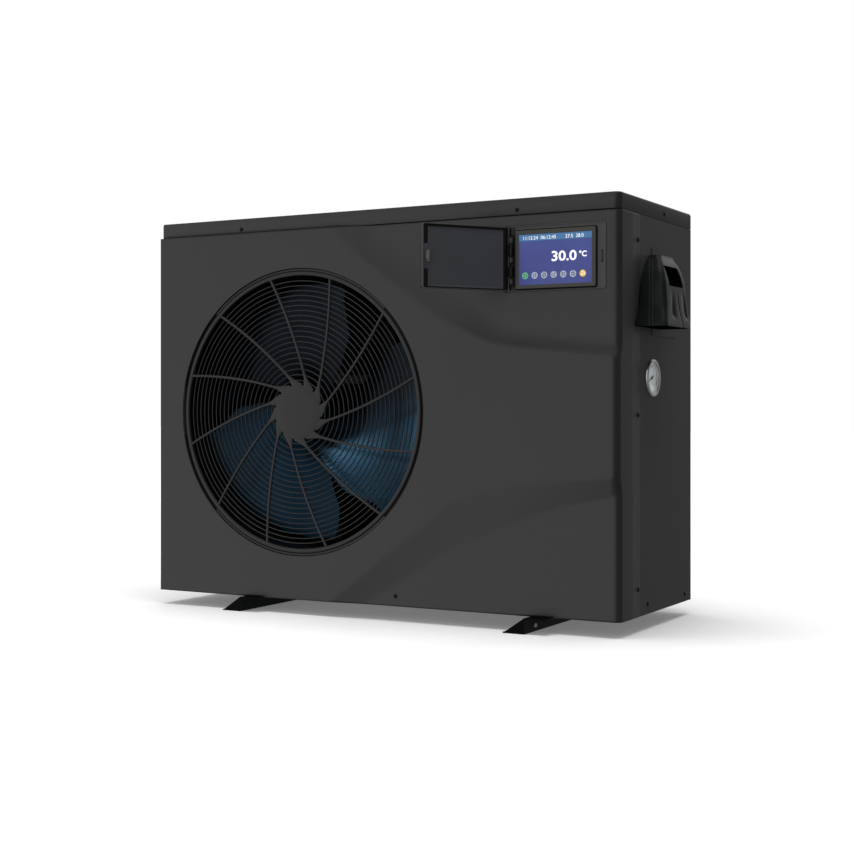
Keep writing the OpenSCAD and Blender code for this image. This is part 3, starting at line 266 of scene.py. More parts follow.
def finish_mesh(me, sharp):
    bm = bmesh.new()
    bm.from_mesh(me)
    bmesh.ops.remove_doubles(bm, verts=bm.verts, dist=1e-6)
    for face in bm.faces:
        face.smooth = True
    for edge in bm.edges:
        if len(edge.link_faces) == 2 and edge.calc_face_angle(0) > math.radians(sharp):
            edge.smooth = False
    bm.to_mesh(me)
    bm.free()


def make(name, verts, faces, mat, slot=None, body=UNIT, sharp=35, recalc=True):
    me = bpy.data.meshes.new(name)
    me.from_pydata([tuple(v) for v in verts], [], faces)
    if recalc:
        bm = bmesh.new()
        bm.from_mesh(me)
        bmesh.ops.remove_doubles(bm, verts=bm.verts, dist=1e-6)
        bmesh.ops.recalc_face_normals(bm, faces=bm.faces)
        bm.to_mesh(me)
        bm.free()
    finish_mesh(me, sharp)
    me.materials.append(mat)
    ob = bpy.data.objects.new(name, me)
    scene.collection.objects.link(ob)
    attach(ob, body)
    return ob


def bevel(ob, width, segments=2, angle=35):
    mod = ob.modifiers.new("edge", "BEVEL")
    mod.width = width
    mod.segments = segments
    mod.limit_method = "ANGLE"
    mod.angle_limit = math.radians(angle)
    mod.harden_normals = True
    return ob


class Soup:
    """Vertices and faces of one piece, gathered from several simple shapes."""

    def __init__(self):
        self.verts = []
        self.faces = []

    def add(self, verts, faces):
        start = len(self.verts)
        self.verts += [Vector(v) for v in verts]
        self.faces += [tuple(start + i for i in f) for f in faces]

    def box(self, lo, hi):
        corners = [(x, y, z) for x in (lo[0], hi[0]) for y in (lo[1], hi[1]) for z in (lo[2], hi[2])]
        sides = (0, 1, 3, 2), (4, 6, 7, 5), (0, 4, 5, 1), (2, 3, 7, 6), (0, 2, 6, 4), (1, 5, 7, 3)
        self.add(corners, sides)

    def rings(self, rings, closed_ring=True, closed_path=False, caps=True):
        """Joins rings of equal length into a tube or a skin."""
        n = len(rings[0])
        verts = [p for ring in rings for p in ring]
        faces = []
        rows = len(rings)
        for i in range(rows if closed_path else rows - 1):
            for j in range(n if closed_ring else n - 1):
                a, b = i * n + j, i * n + (j + 1) % n
                c, d = ((i + 1) % rows) * n + (j + 1) % n, ((i + 1) % rows) * n + j
                faces.append((a, b, c, d))
        if caps and not closed_path:
            faces.append(tuple(range(n - 1, -1, -1)))
            faces.append(tuple((rows - 1) * n + j for j in range(n)))
        self.add(verts, faces)

    def lathe(self, profile, centre, axis="y", segs=96, closed=False):
        """Turns (radius, along) points, in millimetres, round an axis through centre."""
        rings = []
        for r, along in profile:
            ring = []
            for k in range(segs):
                a = 2 * math.pi * k / segs
                u, v = r * math.cos(a), r * math.sin(a)
                offset = {"y": (u, along, v), "x": (along, u, v), "z": (u, v, along)}[axis]
                ring.append(Vector(centre) + Vector(offset) * MM)
            rings.append(ring)
        self.rings(rings, caps=not closed, closed_path=closed)

    def object(self, name, mat, **more):
        return make(name, self.verts, self.faces, mat, **more)


def turned(name, mat, profile, centre, axis="x", segs=96, closed=True, **more):
    """A piece that is one turned profile."""
    soup = Soup()
    soup.lathe(profile, centre, axis, segs, closed)
    return soup.object(name, mat, **more)


def boxed(name, mat, boxes, edge, **more):
    """A piece of boxes given by low and high corners, with its edges rounded."""
    soup = Soup()
    for lo, hi in boxes:
        soup.box(lo, hi)
    return bevel(soup.object(name, mat, **more), edge)


def arc(cx, cy, r, start, end, steps):
    """Points on an arc, as pairs, with angles in degrees."""
    for k in range(steps + 1):
        a = math.radians(start + (end - start) * k / steps)
        yield cx + r * math.cos(a), cy + r * math.sin(a)


def rounded_outline(x0, z0, x1, z1, r, steps=6):
    left, right, bottom, top = x0 + r, x1 - r, z0 + r, z1 - r
    points = []
    for cx, cz, start in ((right, bottom, -90), (right, top, 0), (left, top, 90), (left, bottom, 180)):
        points += list(arc(cx, cz, r, start, start + 90, steps))
    return points


def slab(soup, outline, y0, y1, soft=0.0006):
    """A plate with an outline in X and Z from y0 (front) to y1, with its front edge rounded."""
    cx = sum(p[0] for p in outline) / len(outline)
    cz = sum(p[1] for p in outline) / len(outline)
    rings = []
    for inset, y in ((soft, y0), (soft * 0.3, y0 + soft * 0.3), (0, y0 + soft), (0, y1)):
        ring = []
        for x, z in outline:
            away = Vector((x - cx, 0, z - cz))
            step = away.normalized() * inset if away.length else Vector()
            ring.append(Vector((x, y, z)) - step)
        rings.append(ring)
    soup.rings(rings)


# ---------- front panel ----------

# where each sunk field's slope starts (crease) and reaches its floor, as (x, z) in millimetres
UPPER_CREASE = [(-200, 900), (-90, 763), (-80, 746), (-57, 706), (153, 556), (249, 513), (290, 506),
                (515, 484)]
UPPER_FLOOR = [(-200, 1045), (-80, 831), (-32, 746), (-14, 714), (180, 578), (262, 530), (310, 519),
               (515, 495)]
# the upper slope fades out over this many times its width
UPPER_FADE = 2.0
LOWER_CREASE = [(-200, -55), (-98, 20), (-90, 28), (175, 228), (234, 251), (320, 263), (515, 279)]
LOWER_FLOOR = [(-200, -130), (-98, -22), (-30, 20), (-17, 28), (155, 131), (273, 183), (378, 221), (515, 250)]


def on_line(points, x):
    """The height at x of a line through points, carried on past its ends."""
    for (x0, z0), (x1, z1) in zip(points, points[1:]):
        if x <= x1:
            break
    return z0 + (z1 - z0) * (x - x0) / (x1 - x0)


def soft_line(points, x, reach=12):
    return sum(on_line(points, x + reach * k / 3) for k in range(-3, 4)) / 7


def soft_start(t, k=0.06):
    return max(t + k, 0.0) ** 2 / (4 * k) if t < k else t


def fading_step(t):
    """Rises steeply from the crease, then levels off towards the floor of the sunk field."""
    return 1 - (1 - min(soft_start(t), 1.0)) ** 2


def even_step(t):
    """Rises evenly from the crease to the floor, with a short bend at either end."""
    return soft_start(t) if t < 0.5 else 1 - soft_start(1 - t)


_columns = {}


def depth_at(x, z):
    """How far the front is sunk at (x, z), in metres."""
    key = round(x, 5)
    if key not in _columns:
        x_mm = min(x / MM, 495)
        _columns[key] = [soft_line(line, x_mm) * MM for line in
                         (UPPER_CREASE, UPPER_FLOOR, LOWER_CREASE, LOWER_FLOOR)]
    up0, up1, low0, low1 = _columns[key]
    upper = fading_step((z - up0) / (up1 - up0) / UPPER_FADE)
    lower = even_step((low0 - z) / (low0 - low1))
    return RELIEF * max(upper, lower)


def face_point(x, z):
    return Vector((x, Y_FRONT + depth_at(x, z), z))


def steps_between(a, b, n):
    return [a + (b - a) * k / n for k in range(n + 1)]


def paint_side(me):
    """Gives the faces that look right the duller finish of the side panel."""
    me.materials.append(SIDE)
    for polygon in me.polygons:
        if polygon.normal.x > 0.985:
            polygon.material_index = 1


def patch(soup, columns, rows, hole):
    """A net over the front, with the quads inside hole (x0, z0, x1, z1) left out."""
    def kept(i, j):
        x, z = (columns[i] + columns[i + 1]) / 2, (rows[j] + rows[j + 1]) / 2
        return not (hole[0] < x < hole[2] and hole[1] < z < hole[3])
    m = len(rows)
    verts = [face_point(x, z) for x in columns for z in rows]
    faces = [(i * m + j, (i + 1) * m + j, (i + 1) * m + j + 1, i * m + j + 1)
             for i in range(len(columns) - 1) for j in range(m - 1) if kept(i, j)]
    soup.add(verts, faces)


def air_outlet(soup, columns, rows):
    """From the square net's edge in to the round opening, then a rolled lip."""
    x0, x1, z0, z1 = columns[0], columns[-1], rows[0], rows[-1]
    border = [(x, z0) for x in columns[:-1]] + [(x1, z) for z in rows[:-1]]
    border += [(x, z1) for x in reversed(columns[1:])] + [(x0, z) for z in reversed(rows[1:])]
    # how far outside the opening's radius and how far back the lip's points are, in millimetres
    lip = [(2.9, 0), (2.3, 0.1), (1.9, 0.5), (1.8, 1.2), (1.8, 5), (1.8, 8.5)]
    lip_depth = lip[-1][1]
    steps = 28
    rings = []
    for k in range(steps):
        t = (k / steps) ** 1.15
        ring = []
        for x, z in border:
            away = Vector((x - FAN.x, 0, z - FAN.z))
            rim = FAN + away.normalized() * (OUTLET_R + lip[0][0] * MM)
            ring.append(face_point(x + (rim.x - x) * t, z + (rim.z - z) * t))
        rings.append(ring)
    for out, back in lip:
        ring = []
        for x, z in border:
            away = Vector((x - FAN.x, 0, z - FAN.z)).normalized() * (OUTLET_R + out * MM)
            sunk = depth_at(FAN.x + away.x, FAN.z + away.z)
            y = Y_FRONT + sunk * (1 - back / lip_depth) + back * MM
            ring.append(Vector((FAN.x + away.x, y, FAN.z + away.z)))
        rings.append(ring)
    soup.rings([list(reversed(r)) for r in rings], caps=False)


def side_returns(soup, rows, flat_left, flat_right):
    """The panel's two sides, with the wide corner on the right and the sharp one on the left."""
    bends = 8
    skin = []
    for k in range(bends + 3):
        ring = []
        for z in rows:
            h = depth_at(X_RIGHT, z)
            r = CORNER - h / 9
            a = math.radians(90 * min(k, bends) / bends)
            y = Y_FRONT + h + r - r * math.cos(a)
            if k > bends:
                y += (SIDE_SEAM - y) * (k - bends) / 2
            ring.append(Vector((X_RIGHT - r + r * math.sin(a), y, z)) if k else face_point(flat_right, z))
        skin.append(ring)
    soup.rings(skin, closed_ring=False, caps=False)
    r_left = flat_left - X_LEFT
    bends = 4
    skin = []
    for k in range(bends + 2):
        a = math.radians(90 * min(k, bends) / bends)
        y = Y_FRONT + r_left - r_left * math.cos(a) if k <= bends else SIDE_SEAM
        skin.append([Vector((flat_left - r_left * math.sin(a), y, z)) for z in rows])
    soup.rings([list(reversed(r)) for r in skin], closed_ring=False, caps=False)


def weld_outwards(me):
    """Joins the nets, turns them to face the front and shades them smooth."""
    bm = bmesh.new()
    bm.from_mesh(me)
    bmesh.ops.remove_doubles(bm, verts=bm.verts, dist=0.02 * MM)
    bmesh.ops.recalc_face_normals(bm, faces=bm.faces)
    front_faces = [f for f in bm.faces if abs(f.normal.y) > 0.9]
    if sum(f.normal.y * f.calc_area() for f in front_faces) > 0:
        bmesh.ops.reverse_faces(bm, faces=bm.faces)
    for part in (*bm.faces, *bm.edges):
        part.smooth = True
    bm.to_mesh(me)
    bm.free()


def front_panel():
    half = 300 * MM
    n = 150
    x0, x1 = FAN.x - half, FAN.x + half
    z0, z1 = FAN.z - half, FAN.z + half
    flat_left, flat_right = X_LEFT + 1 * MM, X_RIGHT - CORNER
    low_rows = steps_between(Z_BASE, z0, 15)
    mid_rows = steps_between(z0, z1, n)
    hole = (low("display_frame").x + 6 * MM, mid_rows[129], high("display_frame").x - 6 * MM,
            high("display_frame").z - 5 * MM)
    top_rows = [z1 + d * MM for d in (0, 5, 10, 15, 20, 24)] + steps_between(hole[3], Z_PANEL, 6)
    square_columns = steps_between(x0, x1, n)
    left_columns = [flat_left] + steps_between(flat_left + 0.3 * MM, x0, 8)
    right_columns = steps_between(x1, hole[0], 35) + steps_between(hole[0], hole[2], 48)[1:]
    right_columns += steps_between(hole[2], flat_right, 4)[1:]
    soup = Soup()
    for rows in (low_rows, mid_rows, top_rows):
        patch(soup, left_columns, rows, hole)
        patch(soup, right_columns, rows, hole)
    patch(soup, square_columns, low_rows, hole)
    patch(soup, square_columns, top_rows, hole)
    air_outlet(soup, square_columns, mid_rows)
    for rows in (low_rows, mid_rows, top_rows):
        side_returns(soup, rows, flat_left, flat_right)
    ob = soup.object("front_shell", FRONT, slot="front_moulding", sharp=50, recalc=False)
    weld_outwards(ob.data)
    paint_side(ob.data)
    wall = ob.modifiers.new("wall", "SOLIDIFY")
    wall.thickness = 2.2 * MM
    wall.offset = -1
    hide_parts("front_panel")


# ---------- top cover ----------

def cover_plan(inset, z):
    points = []
    corners = ((X_LEFT, Y_CAP, 2 * MM, 180), (X_RIGHT, Y_CAP, 13 * MM, 270),
               (X_RIGHT, Y_REAR, 2 * MM, 0), (X_LEFT, Y_REAR, 2 * MM, 90))
    for x, y, r, start in corners:
        cx = x + r if x < 0 else x - r
        cy = y + r if y < 0 else y - r
        for px, py in arc(cx, cy, max(r - inset, 0.4 * MM), start, start + 90, 8):
            points.append(Vector((px, py, z)))
    return points


def top_cover():
    soup = Soup()
    edge = 4 * MM
    rings = [cover_plan(1.5 * MM, Z_TOP - 3 * MM), cover_plan(1.5 * MM, Z_SEAM), cover_plan(0.4 * MM, Z_SEAM),
             cover_plan(0, Z_SEAM + 0.5 * MM), cover_plan(0, Z_TOP - edge)]
    for k in range(1, 6):
        a = math.radians(90 * k / 5)
        rings.append(cover_plan(edge * (1 - math.cos(a)), Z_TOP - edge + edge * math.sin(a)))
    rings.append(cover_plan(9 * MM, Z_TOP))
    soup.rings(rings)
    ob = soup.object("top_shell", COVER, slot="cover_paint", sharp=40)
    paint_side(ob.data)
    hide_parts("top_cover")


# ---------- screws ----------

def screw_head(soup, place, out):
    """A pan head with a cross recess, standing on the surface at place and facing out."""
    turn = Vector((0, 0, 1)).rotation_difference(Vector(out)).to_matrix()
    head = [(4.0, 0), (4.0, 0.5), (3.6, 1.2), (2.9, 1.7), (2.0, 1.95), (1.6, 1.95), (1.2, 0.9), (0.2, 0.8)]
    rings = []
    for r, h in head:
        ring = []
        for k in range(24):
            a = 2 * math.pi * k / 24
            cross = r if r > 1.7 else r * (1.15 if k % 6 in (0, 1, 5) else 0.45)
            ring.append(Vector(place) + turn @ Vector((cross * math.cos(a), cross * math.sin(a), h)) * MM)
        rings.append(ring)
    soup.rings(rings)


def screws(name, spots, node):
    soup = Soup()
    for place, out in spots:
        screw_head(soup, [c * MM for c in place], out)
    ob = soup.object(name, SCREW, slot="black_screw", sharp=30)
    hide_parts(node)


def all_screws():
    left, right = X_LEFT / MM, X_RIGHT / MM
    y_cap, y_sunk, y_rear = Y_CAP / MM, Y_SUNK / MM, Y_REAR / MM
    cap = [((x, y_cap, 747), (0, -1, 0)) for x in (-300, 300)]
    cap += [((x, y_rear, 752), (0, 1, 0)) for x in (-300, 300)]
    cap += [((right, 39, 752), (1, 0, 0)), ((left, 39, 752), (-1, 0, 0))]
    screws("cap_screw_heads", cap, "cap_screws")
    body = [((50, y_sunk, 47), (0, -1, 0))]
    for z in (692, 383.5, 76.6):
        body += [((right, -94, z), (1, 0, 0)), ((left, -94, z), (-1, 0, 0))]
    for y, z in ((-47, 45.5), (151, 42)):
        body += [((right, y, z), (1, 0, 0)), ((left, y, z), (-1, 0, 0))]
    body += [((x, y_rear, 45), (0, 1, 0)) for x in (-440, 120, 176, 424)]
    screws("panel_screw_heads", body, "panel_screws")


# ---------- fan ----------

GRILLE_FRONT = Y_FRONT + 1 * MM
GRILLE_PLACE = (FAN.x, GRILLE_FRONT, FAN.z)
ROUND = 192


def grille_rings():
    soup = Soup()
    for k in range(20):
        r = 61 + 10.9 * k - 0.045 * k * k
        section = [(r + 1.15 * math.cos(a), 2.4 + 1.5 * math.sin(a))
                   for a in (math.pi * (2 * i + 1) / 6 for i in range(6))]
        soup.lathe(section, GRILLE_PLACE, segs=ROUND, closed=True)
    soup.object("grille_rings", GRILLE, slot="grille_plastic", sharp=80)


def spoke(soup, turn):
    """One spoke on an arc from under the hub cap to the rim, wider where it joins the cap."""
    arc_r, arc_x, arc_z = 857, 26.1, 825
    inner, outer, stations = 32, 264, 26
    section = [(-1, 4.2), (-1, 1.0), (-0.7, 0.25), (0, 0), (0.7, 0.25), (1, 1.0), (1, 4.2)]
    rings = []
    for s in range(stations + 1):
        x = inner + (outer - inner) * (s / stations) ** 1.4
        z = arc_z - math.sqrt(arc_r ** 2 - (x - arc_x) ** 2)
        tangent = Vector((1, (x - arc_x) / (arc_z - z))).normalized()
        normal = Vector((-tangent.y, tangent.x))
        width = 2.4 + 6.5 * max(0.0, (72 - math.hypot(x, z)) / 20) ** 1.5
        ring = []
        for across, deep in section:
            p = Vector((x, z)) + normal * across * width
            px = p.x * math.cos(turn) - p.y * math.sin(turn)
            pz = p.x * math.sin(turn) + p.y * math.cos(turn)
            ring.append(Vector(GRILLE_PLACE) + Vector((px, deep, pz)) * MM)
        rings.append(ring)
    soup.rings(rings)


def grille():
    grille_rings()
    soup = Soup()
    for k in range(12):
        spoke(soup, math.radians(13.8 + 30 * k))
    rim = [(262.4, 5.5), (262.4, 1.6), (262.9, 0.6), (264, 0), (268.6, 0), (269.7, 0.6), (270.2, 1.6),
           (270.2, 5.5)]
    soup.lathe(rim, GRILLE_PLACE, segs=ROUND, closed=True)
    hub = [(0.1, 5), (52, 5), (52.6, 1.4), (52.2, 0.5), (51, 0.05), (30, 0), (0.1, 0)]
    soup.lathe(hub, GRILLE_PLACE)
    seat = [(271.2, 2.4), (271.2, 1.5), (271.7, 1.0), (275.2, 1.0), (275.9, 1.7), (275.9, 4.5), (271.2, 4.5)]
    for start in (45, 225):
        angles = [math.radians(start + 1.5 * k) for k in range(61)]
        soup.rings([[Vector(GRILLE_PLACE) + Vector((math.cos(a) * r, d, math.sin(a) * r)) * MM
                     for r, d in seat] for a in angles])
    spokes = soup.object("grille_spokes", GRILLE, slot="grille_plastic", sharp=50)
    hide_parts("fan_grille")
    # a flange behind the rim in painted shade black, so the gap round the grille shows dark
    flange = [(262.6, 7.5), (288, 7.5), (289.5, 8.2), (290, 10), (262.6, 10)]
    turned("grille_flange_shade", SHADE_BLACK, flange, GRILLE_PLACE, "y", ROUND, slot="grille_plastic", sharp=50)


# the angle in degrees of each blade's two edges at a radius in millimetres
LEADING = [(0, 40), (66, 44), (105, 49), (140, 54), (175, 58), (203, 65), (224, 69), (251, 70)]
TRAILING = [(0, 130), (66, 138), (111, 154), (192, 160), (222, 158), (251, 155)]


def blade_point(s, t, lift):
    """A point of the blade: s runs out along its span and t across its chord."""
    root, tip, teeth = 42, 249.5, 24
    r = root + (tip - root) * s
    tooth = 3 * abs((s * teeth) % 1 - 0.5) if t == 0 and s > 0.12 else 0
    start, end = on_line(LEADING, r), on_line(TRAILING, r)
    a = math.radians(start + (end - start) * t + tooth)
    y = -146 + 62 * (0.5 + (t - 0.5) * (1 - 0.12 * s)) - 5 * math.sin(math.pi * t) + lift
    return Vector((r * math.cos(a), y, r * math.sin(a))) * MM


def blades():
    axis = (FAN.x, 0, FAN.z)
    soup = Soup()
    chord, span = 14, 96
    for k in range(3):
        turn = Matrix.Rotation(math.radians(120 * k), 3, "Y")
        loops = []
        for j in range(span + 1):
            front = [(i / chord, -1.2) for i in range(chord + 1)]
            back = [(i / chord, 1.2) for i in range(chord, -1, -1)]
            loops.append([turn @ blade_point(j / span, t, lift) + Vector(axis) for t, lift in front + back])
        soup.rings(loops)
    ob = soup.object("fan_wheel", BLADE, slot="fan_plastic", body="fan", sharp=50)
    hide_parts("fan_blades")
    hub = [(6, -136), (12, -136), (14, -139), (30, -139), (38, -137), (42.5, -132), (44, -126),
           (44, -80), (42, -78), (6, -78)]
    turned("fan_hub", BLADE, hub, axis, "y", 72, slot="fan_plastic", body="fan", sharp=40)


def fins():
    """The thin plates of the coil, on a black core: painted shade for the dark depth of the coil where its
    rows of tubes run.
    """
    lo, hi = low("evaporator_fins"), high("evaporator_fins")
    depth, pitch, thick = 40 * MM, 2.4 * MM, 0.15 * MM
    bend = 20 * MM
    outer = bend + depth
    soup = Soup()
    y = lo.y
    while y < hi.y - outer:
        soup.box((lo.x, y, lo.z), (lo.x + depth, y + thick, hi.z))
        y += pitch
    x = lo.x + outer
    while x < hi.x:
        soup.box((x, hi.y - depth, lo.z), (x + thick, hi.y, hi.z))
        x += pitch
    centre = Vector((lo.x + outer, hi.y - outer, 0))
    for k in range(1, 28):
        a = math.radians(90 + 90 * k / 28)
        out = Vector((math.cos(a), math.sin(a), 0))
        side = Vector((-out.y, out.x, 0)) * thick / 2
        quad = [centre + out * bend - side, centre + out * bend + side,
                centre + out * outer + side, centre + out * outer - side]
        soup.rings([[q + Vector((0, 0, z)) for q in quad] for z in (lo.z, hi.z)])
    ob = soup.object("fin_pack", FIN, slot="fin_aluminium", sharp=20)
    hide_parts("evaporator_fins")
    core = Soup()
    path = [(lo.x + depth / 2, lo.y), (lo.x + depth / 2, hi.y - outer)]
    path += [(centre.x + (bend + depth / 2) * math.cos(a), centre.y + (bend + depth / 2) * math.sin(a))
             for a in (math.radians(180 - 10 * k) for k in range(1, 10))]
    path += [(hi.x, hi.y - depth / 2)]
    skin = []
    for i, (px, py) in enumerate(path):
        side = 1.5 * MM
        if i < 2:
            normal = Vector((1, 0))
        elif i == len(path) - 1:
            normal = Vector((0, -1))
        else:
            normal = Vector((centre.x - px, centre.y - py)).normalized()
        skin.append([Vector((px + normal.x * side * s, py + normal.y * side * s, z))
                     for s, z in ((-1, lo.z), (1, lo.z), (1, hi.z), (-1, hi.z))])
    core.rings(skin)
    core.object("coil_shade_core", SHADE_BLACK, slot="fin_aluminium", sharp=30)


# ---------- display ----------

FRAME_EDGE = 6 * MM
FRAME_LIP = Y_SUNK - 0.5 * MM
FRAME_TRAY = Y_SUNK + 0.9 * MM


def frame_surround(x0, z0, x1, z1):
    """The frame round screen and door: a rolled lip, then a shallow tray."""
    def grown(delta, y):
        outline = rounded_outline(x0 - 1 * MM - delta, z0 - 1 * MM - delta, x1 + 1 * MM + delta,
                                  z1 + 2 * MM + delta, max(6 * MM + delta, 0.5 * MM))
        return [Vector((x, y, z)) for x, z in outline]

    profile = [(0, FRAME_TRAY + 3 * MM), (0, FRAME_LIP + 0.5 * MM), (-0.3, FRAME_LIP + 0.1 * MM),
               (-1.0, FRAME_LIP), (-1.8, FRAME_LIP + 0.2 * MM), (-3.0, FRAME_TRAY - 0.2 * MM),
               (-4.0, FRAME_TRAY), (-12, FRAME_TRAY)]
    soup = Soup()
    soup.rings([grown(delta * MM, y) for delta, y in profile])
    ob = soup.object("display_surround", TRIM, slot="front_moulding", sharp=70)
    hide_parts("display_frame")


def frame_fittings(z0, z1):
    """Hinge strip with its knuckles, and the latch slot."""
    strip = ((HINGE.x - 6 * MM, FRAME_LIP + 0.2 * MM, z0 + 1 * MM),
             (HINGE.x + 4.6 * MM, FRAME_TRAY + 2 * MM, z1 - 1 * MM))
    boxed("hinge_strip", DOOR, [strip], 0.4 * MM, slot="front_moulding")
    soup = Soup()
    knuckle = [(0.5, -4.4), (2.6, -4.4), (3, -4), (3, 4), (2.6, 4.4), (0.5, 4.4)]
    for z in (620, 658, 693):
        soup.lathe(knuckle, (HINGE.x, HINGE.y, z * MM), axis="z", segs=28)
        soup.box((HINGE.x - 2.9 * MM, HINGE.y, (z - 4) * MM), (HINGE.x + 2.9 * MM, FRAME_TRAY, (z + 4) * MM))
    bevel(soup.object("hinge_knuckles", TRIM, slot="front_moulding"), 0.5 * MM)
    # a black box for the latch slot: painted shade for the opening
    latch = ((459.5 * MM, FRAME_TRAY - 0.3 * MM, 648 * MM), (463.5 * MM, FRAME_TRAY + 0.6 * MM, 669 * MM))
    boxed("latch_slot", SCREW, [latch], 0.3 * MM, slot="front_moulding")
    tongue = ((460.6 * MM, FRAME_TRAY - 0.5 * MM, 650 * MM), (462.2 * MM, FRAME_TRAY, 667 * MM))
    boxed("latch_tongue", TRIM, [tongue], 0.3 * MM, slot="front_moulding")


def screen_module():
    """The module, standing a little proud of the tray."""
    x0, z0, x1, z1 = 297 * MM, 606.5 * MM, 451.5 * MM, 710 * MM
    face = Y_SUNK - 3.2 * MM

    def ring(delta, y):
        outline = rounded_outline(x0 + delta, z0 + delta, x1 - delta, z1 - delta,
                                  max(3 * MM - delta, 0.6 * MM))
        return [Vector((x, y, z)) for x, z in outline]

    glass = (x0 + 8 * MM, z0 + 6.5 * MM, x1 - 7.5 * MM, z1 - 8 * MM)
    window = [Vector((x, face + 0.2 * MM, z)) for x, z in rounded_outline(*glass, 0.8 * MM)]
    soup = Soup()
    soup.rings([ring(0, FRAME_TRAY), ring(0, face + 1.2 * MM), ring(0.35 * MM, face + 0.35 * MM),
                ring(1.2 * MM, face), window, [p + Vector((0, 0.9 * MM, 0)) for p in window]])
    ob = soup.object("screen_bezel", BEZEL, slot="bezel_plastic", sharp=40)
    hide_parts("display_module")
    # painted shade: a black ring round the module, standing for the shadowed gap at its side wall
    shade_ring = [(0.4, 0.3), (-1.6, 0.3), (-1.6, -0.4), (-1.0, -0.7), (0.4, -0.7)]
    soup = Soup()
    soup.rings([ring(delta * MM, FRAME_TRAY + y * MM) for delta, y in shade_ring], closed_path=True)
    soup.object("display_shade_ring", SHADE_BLACK, slot="bezel_plastic", sharp=40)
    soup = Soup()
    glass_y = face + 0.8 * MM
    slab(soup, rounded_outline(*glass, 0.7 * MM), glass_y, glass_y + 0.2 * MM, 0.1 * MM)
    ob = soup.object("screen_panel", SCREEN, slot="screen_glass")
    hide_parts("touch_glass")
    screen_graphics(*glass, glass_y)


def display():
    lo, hi = low("display_frame"), high("display_frame")
    z0, z1 = lo.z + FRAME_EDGE, hi.z - FRAME_EDGE
    frame_surround(lo.x + FRAME_EDGE, z0, hi.x - FRAME_EDGE, z1)
    frame_fittings(z0, z1)
    screen_module()


def flat_text(name, words, size, x, z, y, bold=0.0, wide=1.0):
    """Lit characters lying on the screen, as a mesh."""
    curve = bpy.data.curves.new(name, "FONT")
    curve.body = words
    curve.size = size
    curve.offset = bold
    curve.extrude = 0.04 * MM
    curve.resolution_u = 4
    temp = bpy.data.objects.new(name + "_curve", curve)
    scene.collection.objects.link(temp)
    bpy.context.view_layer.update()
    me = bpy.data.meshes.new_from_object(temp.evaluated_get(bpy.context.evaluated_depsgraph_get()))
    bpy.data.objects.remove(temp)
    me.transform(Matrix.Translation((x, y, z)) @ Matrix.Rotation(math.radians(90), 4, "X")
                 @ Matrix.Diagonal((wide, 1, 1, 1)))
    me.materials.clear()
    me.materials.append(LIT)
    ob = bpy.data.objects.new(name, me)
    scene.collection.objects.link(ob)
    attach(ob, UNIT)


def screen_graphics(x0, z0, x1, z1, y):
    """Generic digits, a bar and round marks, placed as shares of the screen's width and height."""
    w, h = x1 - x0, z1 - z0
    soup = Soup()
    bar = rounded_outline(x0 + 0.3 * MM, z1 - 0.13 * h, x1 - 0.3 * MM, z1 - 0.3 * MM, 0.3 * MM)
    slab(soup, bar, y - 0.12 * MM, y, 0.03 * MM)
    soup.object("status_bar", BAR, slot="screen_glass")
    text_y, small, line_z = y - 0.16 * MM, 0.098 * h, z1 - 0.105 * h
    flat_text("clock_digits", "11:12:24  06:12:45", small, x0 + 0.05 * w, line_z, text_y)
    flat_text("water_digits", "27.5  28.0", small, x1 - 0.36 * w, line_z, text_y)
    flat_text("set_point", "30.0", 0.27 * h, x0 + 0.445 * w, z0 + 0.455 * h, text_y, 0.006 * h, 1.18)
    flat_text("degree_sign", "°C", 0.15 * h, x0 + 0.825 * w, z0 + 0.515 * h, text_y, 0.005 * h)
    last = 6
    r = 0.068 * h
    disc = [(0.2 * r / MM, -0.1), (0.95 * r / MM, -0.14), (r / MM, -0.1), (r / MM, 0)]
    dot = [(0.05 * r / MM, -0.17), (0.2 * r / MM, -0.17), (0.22 * r / MM, -0.12)]
    for k in range(last + 1):
        cx, cz = x0 + (0.085 + 0.132 * k) * w, z0 + 0.185 * h
        mat = GREEN if k == 0 else YELLOW if k == last else ICON
        soup = Soup()
        soup.lathe(disc, (cx, y, cz), segs=28)
        soup.object("icon_%d" % k, mat, slot="screen_glass")
        soup = Soup()
        dots = 3 + k % 3
        for a in range(dots):
            turn = 2 * math.pi * a / dots + k
            soup.lathe(dot, (cx + 0.45 * r * math.cos(turn), y, cz + 0.45 * r * math.sin(turn)), segs=12)
        soup.object("icon_mark_%d" % k, LIT if k == last else ICON_INK, slot="screen_glass")


DOOR_TURN = Matrix.Rotation(math.radians(-joint("door_hinge")["range_deg"][1]), 3, "Z")
CATCH_Z = 659 * MM - HINGE.z


def door_plan(inset, v):
    """The door's outline at depth v, inset by hinge, bottom, free edge and top distances, in millimetres."""
    if not isinstance(inset, tuple):
        inset = (inset,) * 4
    near, bottom, far, top = (distance * MM for distance in inset)
    z0, z1 = low("display_door").z - HINGE.z, high("display_door").z - HINGE.z
    r = max(4 - min(inset), 0.6) * MM
    return [Vector((u, v * MM, z)) for u, z in
            rounded_outline(2.4 * MM + near, z0 + bottom, 176 * MM - far, z1 - top, r)]


def door_piece(soup, name, mat, sharp=35):
    """Makes a piece that was drawn with the door shut along X from its hinge, and opens it."""
    soup.verts = [HINGE + DOOR_TURN @ v for v in soup.verts]
    return soup.object(name, mat, slot="door_plastic", body="door", sharp=sharp)


